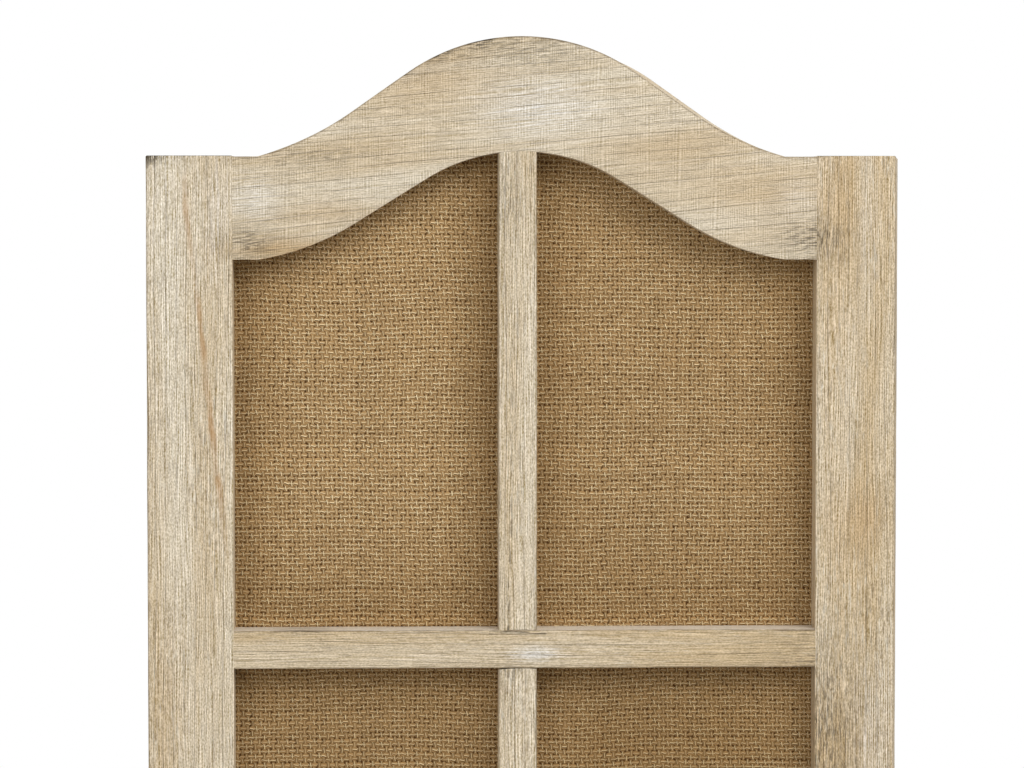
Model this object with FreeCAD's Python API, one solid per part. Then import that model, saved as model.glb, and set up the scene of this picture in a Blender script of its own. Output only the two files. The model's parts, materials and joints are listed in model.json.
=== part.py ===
import FreeCAD, Part
import math
import os

from FreeCAD import Placement, Rotation, Vector

# Folding room screen: three arched wooden panels with burlap behind a grid of bars.
# Butt hinges join the panels, so that they fold to and fro like an accordion.
# Millimetres, +Z up. A panel is drawn flat: x across from its centre line, y from its
# front face to its back, z up from the floor.

# Panel frame
panel_width = 350.0
panel_height = 1650.0            # floor to the top of the arch
frame_thickness = 20.0
left_stile_width = 40.0
right_stile_width = 37.0
leg_height = 102.0               # floor to the underside of the bottom rail
bottom_rail_height = 60.0
edge_ease = 0.8                  # chamfer on the frame's long edges

# Crest rail: its edges are ogees, an apex arc, a straight flank and a shoulder arc a side
crest_end_height = 48.0          # height of the rail where it meets the stiles
crest_set_down = 0.4             # its shoulders lie this far below the stile tops
crest_shoulder_flat = 12.0       # level stretch beside the wider stile
crest_rise = 56.0                # arch top above the shoulders
crest_steepness = 1.54           # slope of the flank over the mean slope of the edge
crest_radius_ratio = 1.6         # shoulder radius over apex radius
crest_kink = 16.0                # angle between shoulder arc and level stretch
under_rise = 50.5                # top of the cut-out above its ends
under_steepness = 1.52
under_radius_ratio = 1.43
under_kink = 9.0

# Grid of bars in front of the cloth
bar_width = 18.0
row_count = 6
mullion_offset = -2.0            # the upright bar stands a little left of centre
bar_ease = 0.6

# Joinery
tenon_thickness = 7.0
tenon_set_back = 4.5             # from the front face to the front of the tenons
rail_tenon_length = 22.0
rail_tenon_shoulder = 9.0        # from the edge of a rail to the edge of its tenon
stub_tenon_width = 8.0
stub_tenon_length = 8.0
joint_fit = 0.15                 # clearance round tenons and in the half-laps

# Cloth, and the beads and brads that hold it in a rebate at the back
rebate_width = 10.0
bead_thickness = 3.0
bead_fit = 0.3                   # between a bead and the wall of the rebate
cloth_thickness = 1.2
cloth_gap = 0.3                  # between the bars and the cloth
brad_width = 1.2
brad_height = 1.0
brad_length = 14.0
brad_fit = 0.05
side_brad_rise = 90.0            # from the foot of every second pane
crest_brad_reach = 30.0          # from the centre line

# Butt hinges
hinge_count = 3
round_sides = 8                  # flats round the knuckles, pins and screws
lowest_hinge_height = 250.0      # from the floor to the hinge's middle
highest_hinge_drop = 324.0       # from the stile top to the hinge's middle
hinge_height = 50.0
leaf_width = 15.0
leaf_thickness = 1.5
leaf_gap = 0.6                   # between two leaves that lie face to face
knuckle_count = 3
knuckle_radius = 3.0
knuckle_gap = 0.2                # round a knuckle, to its neighbours and the panel
pin_bore_radius = 1.5
pin_fit = 0.05
pin_head_radius = 2.4
pin_head_height = 1.2
screw_spacing = 28.0
screw_stagger = 4.0
screw_shank_radius = 1.4
screw_head_radius = 2.9
screw_length = 16.0
screw_tip_length = 4.0
screw_fit = 0.05

# How the screen stands: the angle that each panel closes to with the one before it
middle_panel_angle = 18.0
rear_panel_angle = 50.0

# Places worked out from the sizes
half_width = panel_width / 2
opening_x = (left_stile_width - half_width, half_width - right_stile_width)
opening_bottom = leg_height + bottom_rail_height
shoulder_top = panel_height - crest_rise
stile_top = shoulder_top + crest_set_down
crest_bottom = shoulder_top - crest_end_height
opening_top = crest_bottom + under_rise
crest_run = half_width - max(left_stile_width, right_stile_width) - crest_shoulder_flat
frame_y = (0, frame_thickness)
bead_y = (frame_thickness - bead_thickness, frame_thickness)
cloth_y = (bead_y[0] - cloth_thickness, bead_y[0])
rebate_y = (cloth_y[0], frame_thickness)
bar_y = (0, cloth_y[0] - cloth_gap)
lap_y = sum(bar_y) / 2
tenon_y = (tenon_set_back, tenon_set_back + tenon_thickness)
crest_tenon_z = (crest_bottom + rail_tenon_shoulder, shoulder_top - rail_tenon_shoulder)
bottom_tenon_z = (leg_height + rail_tenon_shoulder, opening_bottom - rail_tenon_shoulder)
bead_width = rebate_width - bead_fit
mullion_x = (mullion_offset - bar_width / 2, mullion_offset + bar_width / 2)
pane_height = (opening_top - opening_bottom - (row_count - 1) * bar_width) / row_count
pane_feet = [opening_bottom + row * (pane_height + bar_width) for row in range(row_count)]
crossbar_spans = [(foot - bar_width, foot) for foot in reversed(pane_feet[1:])]
highest_hinge_height = stile_top - highest_hinge_drop
hinge_step = (highest_hinge_height - lowest_hinge_height) / (hinge_count - 1)
hinge_heights = [lowest_hinge_height + number * hinge_step for number in range(hinge_count)]
hinge_seam = 2 * leaf_thickness + leaf_gap
knuckle_stand = knuckle_radius + knuckle_gap
pin_radius = pin_bore_radius * math.cos(math.pi / round_sides) - pin_fit
tiny = 1e-6

left_side = -1
right_side = 1
front_side = -1
back_side = 1


def block(x, y, z):
    """Box between the two ends given for each of x, y and z."""
    low = Vector(min(x), min(y), min(z))
    return Part.makeBox(abs(x[1] - x[0]), abs(y[1] - y[0]), abs(z[1] - z[0]), low)


def widened(span, margin):
    return span[0] - margin, span[1] + margin


def joined(shapes):
    return shapes[0].multiFuse(shapes[1:]).removeSplitter()


def eased(solid, direction, chamfer, farthest_back=frame_thickness):
    """Chamfers the straight edges along a direction, as far back as given."""
    edges = []
    for edge in solid.Edges:
        along = (edge.Vertexes[-1].Point - edge.Vertexes[0].Point).normalize()
        if abs(along * direction) > 1 - tiny and edge.BoundBox.YMax < farthest_back + tiny:
            edges.append(edge)
    return solid.makeChamfer(chamfer, edges)


class Ogee:
    """Arched edge of the crest rail, symmetric about x = 0, with its shoulders at height 0."""

    def __init__(self, rise, steepness, radius_ratio, kink):
        self.rise = rise
        self.flank = math.atan(steepness * rise / crest_run)
        self.kink = math.radians(kink)
        sine = math.sin(self.flank)
        cosine = math.cos(self.flank)
        across = sine + radius_ratio * (sine - math.sin(self.kink))
        down = 1 - cosine + radius_ratio * (math.cos(self.kink) - cosine)
        self.apex_radius = (crest_run * sine - rise * cosine) / (across * sine - down * cosine)
        self.shoulder_radius = radius_ratio * self.apex_radius

    def on_apex(self, angle):
        x = self.apex_radius * math.sin(angle)
        return x, self.rise - self.apex_radius * (1 - math.cos(angle))

    def on_shoulder(self, angle):
        x = crest_run - self.shoulder_radius * (math.sin(angle) - math.sin(self.kink))
        return x, self.shoulder_radius * (math.cos(self.kink) - math.cos(angle))

    def apex_height(self, x):
        return self.on_apex(math.asin(x / self.apex_radius))[1]

    def edges(self, x, base):
        """The edge from x[0] to x[1], level outside the shoulders, with its shoulders at base."""

        def half(side, level_end):
            place = [
                (side * level_end, 0),
                (crest_run, 0),
                self.on_shoulder((self.flank + self.kink) / 2),
                self.on_shoulder(self.flank),
                self.on_apex(self.flank),
            ]
            point = [Vector(side * across, 0, base + up) for across, up in place]
            level = Part.LineSegment(point[0], point[1]).toShape()
            shoulder = Part.Arc(point[1], point[2], point[3]).toShape()
            flank = Part.LineSegment(point[3], point[4]).toShape()
            return [level, shoulder, flank], point[4]

        left, apex_left = half(left_side, x[0])
        right, apex_right = half(right_side, x[1])
        apex = Part.Arc(apex_left, Vector(0, 0, base + self.rise), apex_right).toShape()
        return left + [apex] + right[::-1]


crest_edge = Ogee(crest_rise, crest_steepness, crest_radius_ratio, crest_kink)
under_edge = Ogee(under_rise, under_steepness, under_radius_ratio, under_kink)


def arched_plate(ogee, x, foot, base, y):
    """Plate in the panel's plane with straight sides up from foot and an ogee on top."""
    corners = [Vector(x[1], 0, base), Vector(x[1], 0, foot), Vector(x[0], 0, foot), Vector(x[0], 0, base)]
    sides = [Part.LineSegment(start, end).toShape() for start, end in zip(corners, corners[1:])]
    plate = Part.Face(Part.Wire(ogee.edges(x, base) + sides)).extrude(Vector(0, y[1] - y[0], 0))
    plate.translate(Vector(0, y[0], 0))
    return plate


def opening_plate(margin, y):
    """The window in the frame, widened by a margin."""
    x = widened(opening_x, margin)
    return arched_plate(under_edge, x, opening_bottom - margin, crest_bottom + margin, y)


def stub(span):
    """The middle of a bar's width, where its stub tenon is."""
    return widened((sum(span) / 2, sum(span) / 2), stub_tenon_width / 2)


def brad_places():
    """Across and up, in the middle of the rebate on every side."""
    middle = rebate_width / 2
    for foot in pane_feet[::2]:
        yield opening_x[0] - middle, foot + side_brad_rise
        yield opening_x[1] + middle, foot + side_brad_rise
    for pane_side, mullion_side in zip(opening_x, mullion_x):
        yield (pane_side + mullion_side) / 2, opening_bottom - middle
    for side in (left_side, right_side):
        yield side * crest_brad_reach, crest_bottom + under_edge.apex_height(crest_brad_reach) + middle
        yield side * (crest_run + crest_shoulder_flat / 2), crest_bottom + middle


def brads(margin=0):
    """The brads of a panel, driven flush with its back. A margin makes their holes."""
    y = (frame_thickness - brad_length, frame_thickness)
    shapes = []
    for x, z in brad_places():
        across = widened((x, x), brad_width / 2 + margin)
        upright = widened((z, z), brad_height / 2 + margin)
        shapes.append(block(across, y, upright))
    return Part.makeCompound(shapes)


def stile(side, screw_holes):
    """Upright of the frame with its mortises, the rebate for the cloth and the screw holes."""
    inner = opening_x[0] if side == left_side else opening_x[1]
    solid = block((side * half_width, inner), frame_y, (0, stile_top))
    solid = eased(solid, Vector(0, 0, 1), edge_ease)
    tenons = [(rail_tenon_length, crest_tenon_z), (rail_tenon_length, bottom_tenon_z)]
    tenons += [(stub_tenon_length, stub(span)) for span in crossbar_spans]
    cuts = [opening_plate(rebate_width, rebate_y), brads(brad_fit)]
    for length, z in tenons:
        mortise_x = (inner, inner + side * (length + joint_fit))
        cuts.append(block(mortise_x, widened(tenon_y, joint_fit), widened(z, joint_fit)))
    return solid.cut(cuts + screw_holes)


def finished_rail(board, tenon_z, mortise_z):
    """Gives a rail its tenons, the mullion's mortise, the rebate and the holes of the brads."""
    tenon = block(widened(opening_x, rail_tenon_length), tenon_y, tenon_z)
    between_stiles = block(opening_x, frame_y, tenon_z)
    mortise = block(widened(stub(mullion_x), joint_fit), widened(tenon_y, joint_fit), mortise_z)
    solid = joined([board, *tenon.cut(between_stiles).Solids])
    return solid.cut([mortise, opening_plate(rebate_width, rebate_y), brads(brad_fit)])


def crest_rail():
    board = arched_plate(crest_edge, opening_x, opening_bottom, shoulder_top, frame_y)
    board = board.cut(opening_plate(0, frame_y))
    rims = [edge for edge in board.Edges if edge.BoundBox.YLength < tiny < edge.BoundBox.XLength]
    board = board.makeChamfer(edge_ease, rims)
    mortise_top = opening_top + stub_tenon_length + joint_fit
    return finished_rail(board, crest_tenon_z, (crest_bottom, mortise_top))


def bottom_rail():
    board = block(opening_x, frame_y, (leg_height, opening_bottom))
    board = eased(board, Vector(1, 0, 0), edge_ease)
    mortise_foot = opening_bottom - stub_tenon_length - joint_fit
    return finished_rail(board, bottom_tenon_z, (mortise_foot, opening_bottom))


def mullion():
    """Upright bar, halved at its front where the crossbars pass over it."""
    z = (opening_bottom, opening_top)
    bar = eased(block(mullion_x, bar_y, z), Vector(0, 0, 1), bar_ease, lap_y)
    bar = bar.common(opening_plate(0, bar_y))
    tenon = block(stub(mullion_x), tenon_y, widened(z, stub_tenon_length))
    notch_x = widened(mullion_x, joint_fit)
    notches = [block(notch_x, (bar_y[0], lap_y), widened(span, joint_fit)) for span in crossbar_spans]
    return joined([bar, tenon]).cut(notches)


def crossbar(span):
    """Level bar, halved at its back where it passes over the mullion."""
    bar = eased(block(opening_x, bar_y, span), Vector(1, 0, 0), bar_ease, lap_y)
    tenon = block(widened(opening_x, stub_tenon_length), tenon_y, stub(span))
    notch = block(widened(mullion_x, joint_fit), (lap_y, bar_y[1]), span)
    return joined([bar, tenon]).cut(notch)


def burlap():
    """One sheet, cut a little smaller than the rebate and pierced by the brads."""
    return opening_plate(bead_width, cloth_y).cut(brads(brad_fit))


def beads():
    """Strips over the edge of the cloth: two upright, one along the bottom and an arched one."""
    border = opening_plate(bead_width, bead_y).cut([opening_plate(0, bead_y), brads(brad_fit)])
    outer_x = widened(opening_x, bead_width)
    foot = opening_bottom - bead_width
    return {
        "left_bead": border.common(block((outer_x[0], opening_x[0]), bead_y, (foot, crest_bottom))),
        "right_bead": border.common(block((opening_x[1], outer_x[1]), bead_y, (foot, crest_bottom))),
        "bottom_bead": border.common(block(opening_x, bead_y, (foot, opening_bottom))),
        "crest_bead": border.common(block(outer_x, bead_y, (crest_bottom, panel_height))),
    }


def ring(centre, radius):
    """Corners of a round bar that stands upright, back to the first."""
    corners = []
    for number in range(round_sides + 1):
        angle = 2 * math.pi * number / round_sides
        corners.append(centre + Vector(radius * math.cos(angle), radius * math.sin(angle), 0))
    return corners


def flat(corners):
    return Part.Face(Part.makePolygon(corners + corners[:1]))


def round_bar(foot, radius, height):
    return Part.Face(Part.makePolygon(ring(foot, radius))).extrude(Vector(0, 0, height))


def countersunk_screw(margin):
    """Wood screw along +x with the face of its head at x = 0. A margin makes its hole."""
    shank = screw_shank_radius + margin
    head_height = screw_head_radius - screw_shank_radius
    tip_start = screw_length - screw_tip_length
    tip = Vector(0, 0, screw_length + margin)
    head_ring = ring(Vector(), screw_head_radius + margin)
    neck_ring = ring(Vector(0, 0, head_height), shank)
    tip_ring = ring(Vector(0, 0, tip_start), shank)
    faces = [Part.Face(Part.makePolygon(head_ring))]
    for number in range(round_sides):
        side = slice(number, number + 2)
        faces.append(flat(head_ring[side] + neck_ring[side][::-1]))
        faces.append(flat(neck_ring[side] + tip_ring[side][::-1]))
        faces.append(flat(tip_ring[side] + [tip]))
    screw = Part.Solid(Part.Shell(faces))
    screw.rotate(Vector(), Vector(0, 1, 0), 90)
    return screw


class HingedEdge:
    """An outer edge of a panel with hinge knuckles at the panel's front or back."""

    def __init__(self, edge, face):
        self.edge = edge
        self.inward = -face
        self.face_y = frame_thickness if face == back_side else 0
        self.axis = Vector(edge * (half_width + hinge_seam / 2), self.face_y + face * knuckle_stand, 0)
        self.leaf_x = (edge * half_width, edge * (half_width + leaf_thickness))

    def screws(self, margin=0):
        shapes = []
        for height in hinge_heights:
            for way in (-1, 1):
                y = self.face_y + self.inward * (leaf_width + way * screw_stagger) / 2
                screw = countersunk_screw(margin)
                turn = 180 if self.edge == right_side else 0
                screw.rotate(Vector(), Vector(0, 0, 1), turn)
                screw.translate(Vector(self.leaf_x[1], y, height + way * screw_spacing / 2))
                shapes.append(screw)
        return Part.makeCompound(shapes)

    def leaves(self, first_knuckle):
        """A leaf at each hinge height, with every second knuckle."""
        pitch = hinge_height / knuckle_count
        leaf_y = (self.face_y, self.face_y + self.inward * leaf_width)
        neck_y = (self.face_y, self.axis.y)
        shapes = []
        for height in hinge_heights:
            foot = height - hinge_height / 2
            pieces = [block(self.leaf_x, leaf_y, (foot, foot + hinge_height))]
            for number in range(first_knuckle, knuckle_count, 2):
                z = widened((foot + number * pitch, foot + (number + 1) * pitch), -knuckle_gap / 2)
                pieces.append(block(self.leaf_x, neck_y, z))
                pieces.append(round_bar(self.axis + Vector(0, 0, z[0]), knuckle_radius, z[1] - z[0]))
            bore = round_bar(self.axis + Vector(0, 0, foot), pin_bore_radius, hinge_height)
            shapes.append(joined(pieces).cut(bore))
        return Part.makeCompound(shapes).cut(self.screws(screw_fit))

    def pins(self):
        """Headed pins, each hanging on the top knuckle of its hinge."""
        shapes = []
        for height in hinge_heights:
            foot = self.axis + Vector(0, 0, height - hinge_height / 2)
            head_foot = foot + Vector(0, 0, hinge_height - knuckle_gap / 2)
            shaft = round_bar(foot, pin_radius, hinge_height)
            shapes.append(joined([shaft, round_bar(head_foot, pin_head_radius, pin_head_height)]))
        return Part.makeCompound(shapes)


def panel(left_hinge=None, right_hinge=None):
    """All pieces of one panel, with screws and their holes on the edges that have hinges."""

    def screw_holes(hinge):
        return [hinge.screws(screw_fit)] if hinge else []

    hinges = [hinge for hinge in (left_hinge, right_hinge) if hinge]
    pieces = {
        "left_stile": stile(left_side, screw_holes(left_hinge)),
        "right_stile": stile(right_side, screw_holes(right_hinge)),
        "crest_rail": crest_rail(),
        "bottom_rail": bottom_rail(),
        "mullion": mullion(),
        "burlap": burlap(),
        "bead_brads": brads(),
        "hinge_screws": Part.makeCompound([screw for hinge in hinges for screw in hinge.screws().Solids]),
    }
    for number, span in enumerate(crossbar_spans, 1):
        pieces[f"crossbar_{number}"] = crossbar(span)
    return pieces | beads()


def placed(prefix, pieces, placement):
    """Names the pieces and sets them where their panel stands."""
    result = {}
    for name, shape in pieces.items():
        shape.transformShape(placement.toMatrix())
        result[f"{prefix}_{name}"] = shape
    return result


def folded(placement, hinge, angle):
    """Where the next panel stands: in line after this one, then folded about their hinge."""
    in_line = Placement(Vector(panel_width + hinge_seam, 0, 0), Rotation())
    turn = Rotation(Vector(0, 0, 1), -hinge.inward * (180 - angle))
    return placement * Placement(Vector(), turn, hinge.axis) * in_line


# The first fold has its knuckles at the back, the second at the front
first_fold = [HingedEdge(right_side, back_side), HingedEdge(left_side, back_side)]
second_fold = [HingedEdge(right_side, front_side), HingedEdge(left_side, front_side)]
front_place = Placement()
middle_place = folded(front_place, first_fold[0], middle_panel_angle)
rear_place = folded(middle_place, second_fold[0], rear_panel_angle)

screen = {
    **placed("front_panel", panel(None, first_fold[0]), front_place),
    **placed("middle_panel", panel(first_fold[1], second_fold[0]), middle_place),
    **placed("rear_panel", panel(second_fold[1], None), rear_place),
}
for prefix, fold, fixed_place, swing_place in (
    ("first_hinge", first_fold, front_place, middle_place),
    ("second_hinge", second_fold, middle_place, rear_place),
):
    screen |= placed(prefix, {"fixed_leaves": fold[0].leaves(0), "pins": fold[0].pins()}, fixed_place)
    screen |= placed(prefix, {"swing_leaves": fold[1].leaves(1)}, swing_place)

# The origin is on the floor, in the middle of the standing screen's outline
outline = FreeCAD.BoundBox()
for shape in screen.values():
    outline.add(shape.optimalBoundingBox(False))
to_origin = Vector(-outline.Center.x, -outline.Center.y, 0)

os.makedirs("parts", exist_ok=True)
for name, shape in screen.items():
    shape.translate(to_origin)
    shape.exportStep(f"parts/{name}.step")

axes = {"first": first_fold[0].axis, "second": middle_place.multVec(second_fold[0].axis)}
for name, axis in axes.items():
    print(f"{name} hinge axis at x {axis.x + to_origin.x:.3f}, y {axis.y + to_origin.y:.3f}")
print(f"front face of the front panel at y {to_origin.y:.3f}, its middle at x {to_origin.x:.3f}")
print(f"outline {outline.XLength:.2f} x {outline.YLength:.2f} x {outline.ZLength:.2f}")
print(f"pane height {pane_height:.2f}")
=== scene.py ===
import json
import math
import random

import bmesh
import bpy
from mathutils import Matrix, Vector, noise


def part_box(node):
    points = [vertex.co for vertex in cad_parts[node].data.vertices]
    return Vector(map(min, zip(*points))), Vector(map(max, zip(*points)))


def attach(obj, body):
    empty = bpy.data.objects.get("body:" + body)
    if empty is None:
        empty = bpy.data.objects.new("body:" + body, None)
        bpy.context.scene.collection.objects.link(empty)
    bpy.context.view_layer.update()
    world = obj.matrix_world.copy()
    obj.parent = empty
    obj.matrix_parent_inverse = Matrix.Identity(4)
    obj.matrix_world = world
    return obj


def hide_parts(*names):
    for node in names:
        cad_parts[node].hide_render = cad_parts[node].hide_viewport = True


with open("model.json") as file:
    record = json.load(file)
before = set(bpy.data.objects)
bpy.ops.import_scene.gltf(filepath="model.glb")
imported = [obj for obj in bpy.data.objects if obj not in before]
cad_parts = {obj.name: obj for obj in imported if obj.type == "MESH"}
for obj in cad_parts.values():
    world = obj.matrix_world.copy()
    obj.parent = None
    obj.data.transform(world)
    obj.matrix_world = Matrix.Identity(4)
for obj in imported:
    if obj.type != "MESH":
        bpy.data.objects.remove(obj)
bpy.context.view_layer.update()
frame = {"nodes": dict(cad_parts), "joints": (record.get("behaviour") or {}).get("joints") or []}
print("frame loaded,", len(frame["nodes"]), "nodes")

# The front panel stands square to the axes, so the sizes of all three are read from it.
# A panel is drawn flat: x across from its middle, y from its front to its back, z up.
leftLow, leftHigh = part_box("front_panel_left_stile")
rightLow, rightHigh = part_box("front_panel_right_stile")
crestLow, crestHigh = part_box("front_panel_crest_rail")
railLow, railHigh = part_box("front_panel_bottom_rail")
mullionLow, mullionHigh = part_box("front_panel_mullion")
clothLow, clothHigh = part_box("front_panel_burlap")
beadLow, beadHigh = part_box("front_panel_left_bead")

middleX = (leftLow.x + rightHigh.x) / 2
frontY = leftLow.y
panelWidth = rightHigh.x - leftLow.x
frameDepth = leftHigh.y - frontY
stileTop = leftHigh.z
openLeft = leftHigh.x - middleX
openRight = rightLow.x - middleX
legHeight = railLow.z
openBottom = railHigh.z
crestBottom = crestLow.z
panelTop = crestHigh.z
mullionX = (mullionLow.x - middleX, mullionHigh.x - middleX)
barDepth = mullionHigh.y - frontY
clothY = (clothLow.y - frontY, clothHigh.y - frontY)
beadWidth = beadHigh.x - beadLow.x
rebateWidth = 0.010  # of the step behind the opening, which holds the cloth and the beads
crossbarCount = 5
crossbarBoxes = [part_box(f"front_panel_crossbar_{number}") for number in range(1, crossbarCount + 1)]
crossbarZ = [(low.z, high.z) for low, high in crossbarBoxes]

joints = {joint["name"]: joint for joint in frame["joints"]}


def turnAbout(joint, degrees):
    pivot = Matrix.Translation(joint["pos_m"])
    return pivot @ Matrix.Rotation(math.radians(degrees), 4, "Z") @ pivot.inverted()


# the panels follow each other in line, and each is then turned about its hinge
firstFold = joints["first_fold"]
secondFold = joints["second_fold"]
hingeSeam = 2 * (firstFold["pos_m"][0] - rightHigh.x)
hingeStand = firstFold["pos_m"][1] - leftHigh.y
inLine = Matrix.Translation((panelWidth + hingeSeam, 0, 0))
frontPlace = Matrix.Translation((middleX, frontY, 0))
middlePlace = turnAbout(firstFold, -firstFold["range_deg"][0]) @ frontPlace @ inLine
rearPlace = turnAbout(secondFold, -secondFold["range_deg"][1]) @ middlePlace @ inLine
panelPlaces = {"front_panel": frontPlace, "middle_panel": middlePlace, "rear_panel": rearPlace}


# Arched edges of the crest rail
crestShape = {
    "shoulderFlat": 0.012,
    "setDown": 0.0004,  # below the stile tops
    "top": {"rise": 0.056, "steepness": 1.54, "radiusRatio": 1.6, "kink": 16},
    "under": {"rise": 0.0505, "steepness": 1.52, "radiusRatio": 1.43, "kink": 9},
}
crestRun = -openLeft - crestShape["shoulderFlat"]
crestShoulder = stileTop - crestShape["setDown"]


def ogee(shape):
    # height over the shoulders: apex arc, straight flank, shoulder arc, level end
    rise, ratio = shape["rise"], shape["radiusRatio"]
    flank = math.atan(shape["steepness"] * rise / crestRun)
    kink = math.radians(shape["kink"])
    sine, cosine = math.sin(flank), math.cos(flank)
    across = sine + ratio * (sine - math.sin(kink))
    down = 1 - cosine + ratio * (math.cos(kink) - cosine)
    apexRadius = (crestRun * sine - rise * cosine) / (across * sine - down * cosine)
    shoulderRadius = ratio * apexRadius
    apexEnd = apexRadius * sine
    shoulderStart = crestRun - shoulderRadius * (sine - math.sin(kink))
    flankTop = rise - apexRadius * (1 - cosine)

    def height(x):
        x = abs(x)
        if x >= crestRun:
            return 0.0
        if x > shoulderStart:
            sineHere = math.sin(kink) + (crestRun - x) / shoulderRadius
            return shoulderRadius * (math.cos(kink) - math.sqrt(1 - sineHere ** 2))
        if x > apexEnd:
            return flankTop - (x - apexEnd) * math.tan(flank)
        return rise - apexRadius + math.sqrt(apexRadius ** 2 - x ** 2)

    return height


topHeight = ogee(crestShape["top"])
underHeight = ogee(crestShape["under"])


def crestTopAt(x):
    return crestShoulder + topHeight(x)


def crestUnderAt(x):
    return crestBottom + underHeight(x)


# Shader helpers
class Bench:
    def __init__(self, tree):
        self.tree = tree

    def add(self, kind, **settings):
        node = self.tree.nodes.new(kind)
        for name, value in settings.items():
            setattr(node, name, value)
        return node

    def feed(self, socket, value):
        if isinstance(value, bpy.types.NodeSocket):
            self.tree.links.new(value, socket)
        else:
            socket.default_value = value

    def wired(self, kind, values, **settings):
        node = self.add(kind, **settings)
        for socket, value in zip(node.inputs, values):
            self.feed(socket, value)
        return node.outputs[0]

    def math(self, operation, *values, clamp=False):
        return self.wired("ShaderNodeMath", values, operation=operation, use_clamp=clamp)

    def plus(self, first, second):
        return self.math("ADD", first, second)

    def minus(self, first, second, clamp=False):
        return self.math("SUBTRACT", first, second, clamp=clamp)

    def times(self, first, second, clamp=False):
        return self.math("MULTIPLY", first, second, clamp=clamp)

    def swing(self, value, reach):
        # a noise from 0 to 1 becomes a swing to both sides of 0
        return self.times(self.minus(value, 0.5), reach)

    def vector(self, operation, *values):
        return self.wired("ShaderNodeVectorMath", values, operation=operation)

    def join(self, x, y, z):
        return self.wired("ShaderNodeCombineXYZ", (x, y, z))

    def split(self, vector):
        node = self.add("ShaderNodeSeparateXYZ")
        self.feed(node.inputs[0], vector)
        return node.outputs

    def tint(self, value, shares):
        # white, changed by a share of the value in red, green and blue
        return self.vector("MULTIPLY_ADD", self.join(value, value, value), shares, (1, 1, 1))

    def noise(self, vector, scales, shift=(0, 0, 0), detail=2.0, roughness=0.5):
        scaled = self.vector("MULTIPLY_ADD", vector, scales, shift)
        node = self.add("ShaderNodeTexNoise")
        self.feed(node.inputs["Vector"], scaled)
        node.inputs["Scale"].default_value = 1
        node.inputs["Detail"].default_value = detail
        node.inputs["Roughness"].default_value = roughness
        return node.outputs[0]

    def random(self, value, shift):
        node = self.add("ShaderNodeTexWhiteNoise", noise_dimensions="1D")
        self.feed(node.inputs["W"], self.plus(value, shift))
        return node.outputs["Value"]

    def ramp(self, value, low, high, toLow=0.0, toHigh=1.0, smooth=True):
        shape = "SMOOTHSTEP" if smooth else "LINEAR"
        values = (value, low, high, toLow, toHigh)
        return self.wired("ShaderNodeMapRange", values, interpolation_type=shape)

    def mix(self, factor, first, second, mode="MIX"):
        node = self.add("ShaderNodeMix", data_type="RGBA", blend_type=mode)
        self.feed(node.inputs["Factor"], factor)
        self.feed(node.inputs[6], first)
        self.feed(node.inputs[7], second)
        return node.outputs[2]

    def attribute(self, name):
        return self.add("ShaderNodeAttribute", attribute_name=name).outputs["Vector"]

    def bump(self, height, distance, strength):
        node = self.add("ShaderNodeBump")
        node.inputs["Strength"].default_value = strength
        node.inputs["Distance"].default_value = distance
        self.feed(node.inputs["Height"], height)
        return node.outputs[0]

    def group(self, tree, **inputs):
        node = self.add("ShaderNodeGroup", node_tree=tree)
        for name, value in inputs.items():
            self.feed(node.inputs[name], value)
        return node.outputs


def newGroup(name, vectorIn, floatsIn, floatsOut):
    tree = bpy.data.node_groups.new(name, "ShaderNodeTree")
    tree.interface.new_socket(vectorIn, in_out="INPUT", socket_type="NodeSocketVector")
    for title in floatsIn:
        tree.interface.new_socket(title, in_out="INPUT", socket_type="NodeSocketFloat")
    for title in floatsOut:
        tree.interface.new_socket(title, in_out="OUTPUT", socket_type="NodeSocketFloat")
    bench = Bench(tree)
    return tree, bench, bench.add("NodeGroupInput").outputs, bench.add("NodeGroupOutput").inputs


def newMaterial(name):
    material = bpy.data.materials.new(name)
    material.use_nodes = True
    bench = Bench(material.node_tree)
    return material, bench, material.node_tree.nodes["Principled BSDF"].inputs


def linear(red, green, blue):
    # colours are written as a colour picker shows them, from 0 to 255
    return (*(((c / 255 + 0.055) / 1.055) ** 2.4 for c in (red, green, blue)), 1)


# Grain of a board: x runs along the fibres, y and z across them.
# Of each pair of scales, the first is for the lines and the second for the gaps in them.
grainLook = {
    "wander": 0.0009,  # how far fibres swerve
    "swerve": (7, 24, 24),
    "fibreSpacing": 0.00110,
    "fibre": ((6, 130, 130), (90, 800, 800)),
    "sawSpacing": 0.00117,
    "saw": ((70, 5, 5), (220, 150, 150)),
    "unevenness": 7.0,  # of the distances between fibres or saw marks
    "combGaps": (0.38, 0.60),
    "combFaint": 0.1,  # what is left of fibres and saw marks in their gaps
    "dark": ((45, 1150, 1150), (170, 1100, 1100)),
    "light": ((40, 1000, 1000), (170, 1000, 1000)),
    "lineHalf": 0.045,
    "lineGaps": (0.40, 0.56),
    "grit": (900, 1700, 1700),
    "gritRange": (0.3, 0.7),
    "ringSway": (3.2, 24, 24),
    "ringHalf": 0.07,
    "ringBreaks": (16, 200, 200),
    "ringGaps": (0.36, 0.56),
    "band": (5, 60, 60),
    "bandRange": (0.30, 0.70),
}


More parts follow.
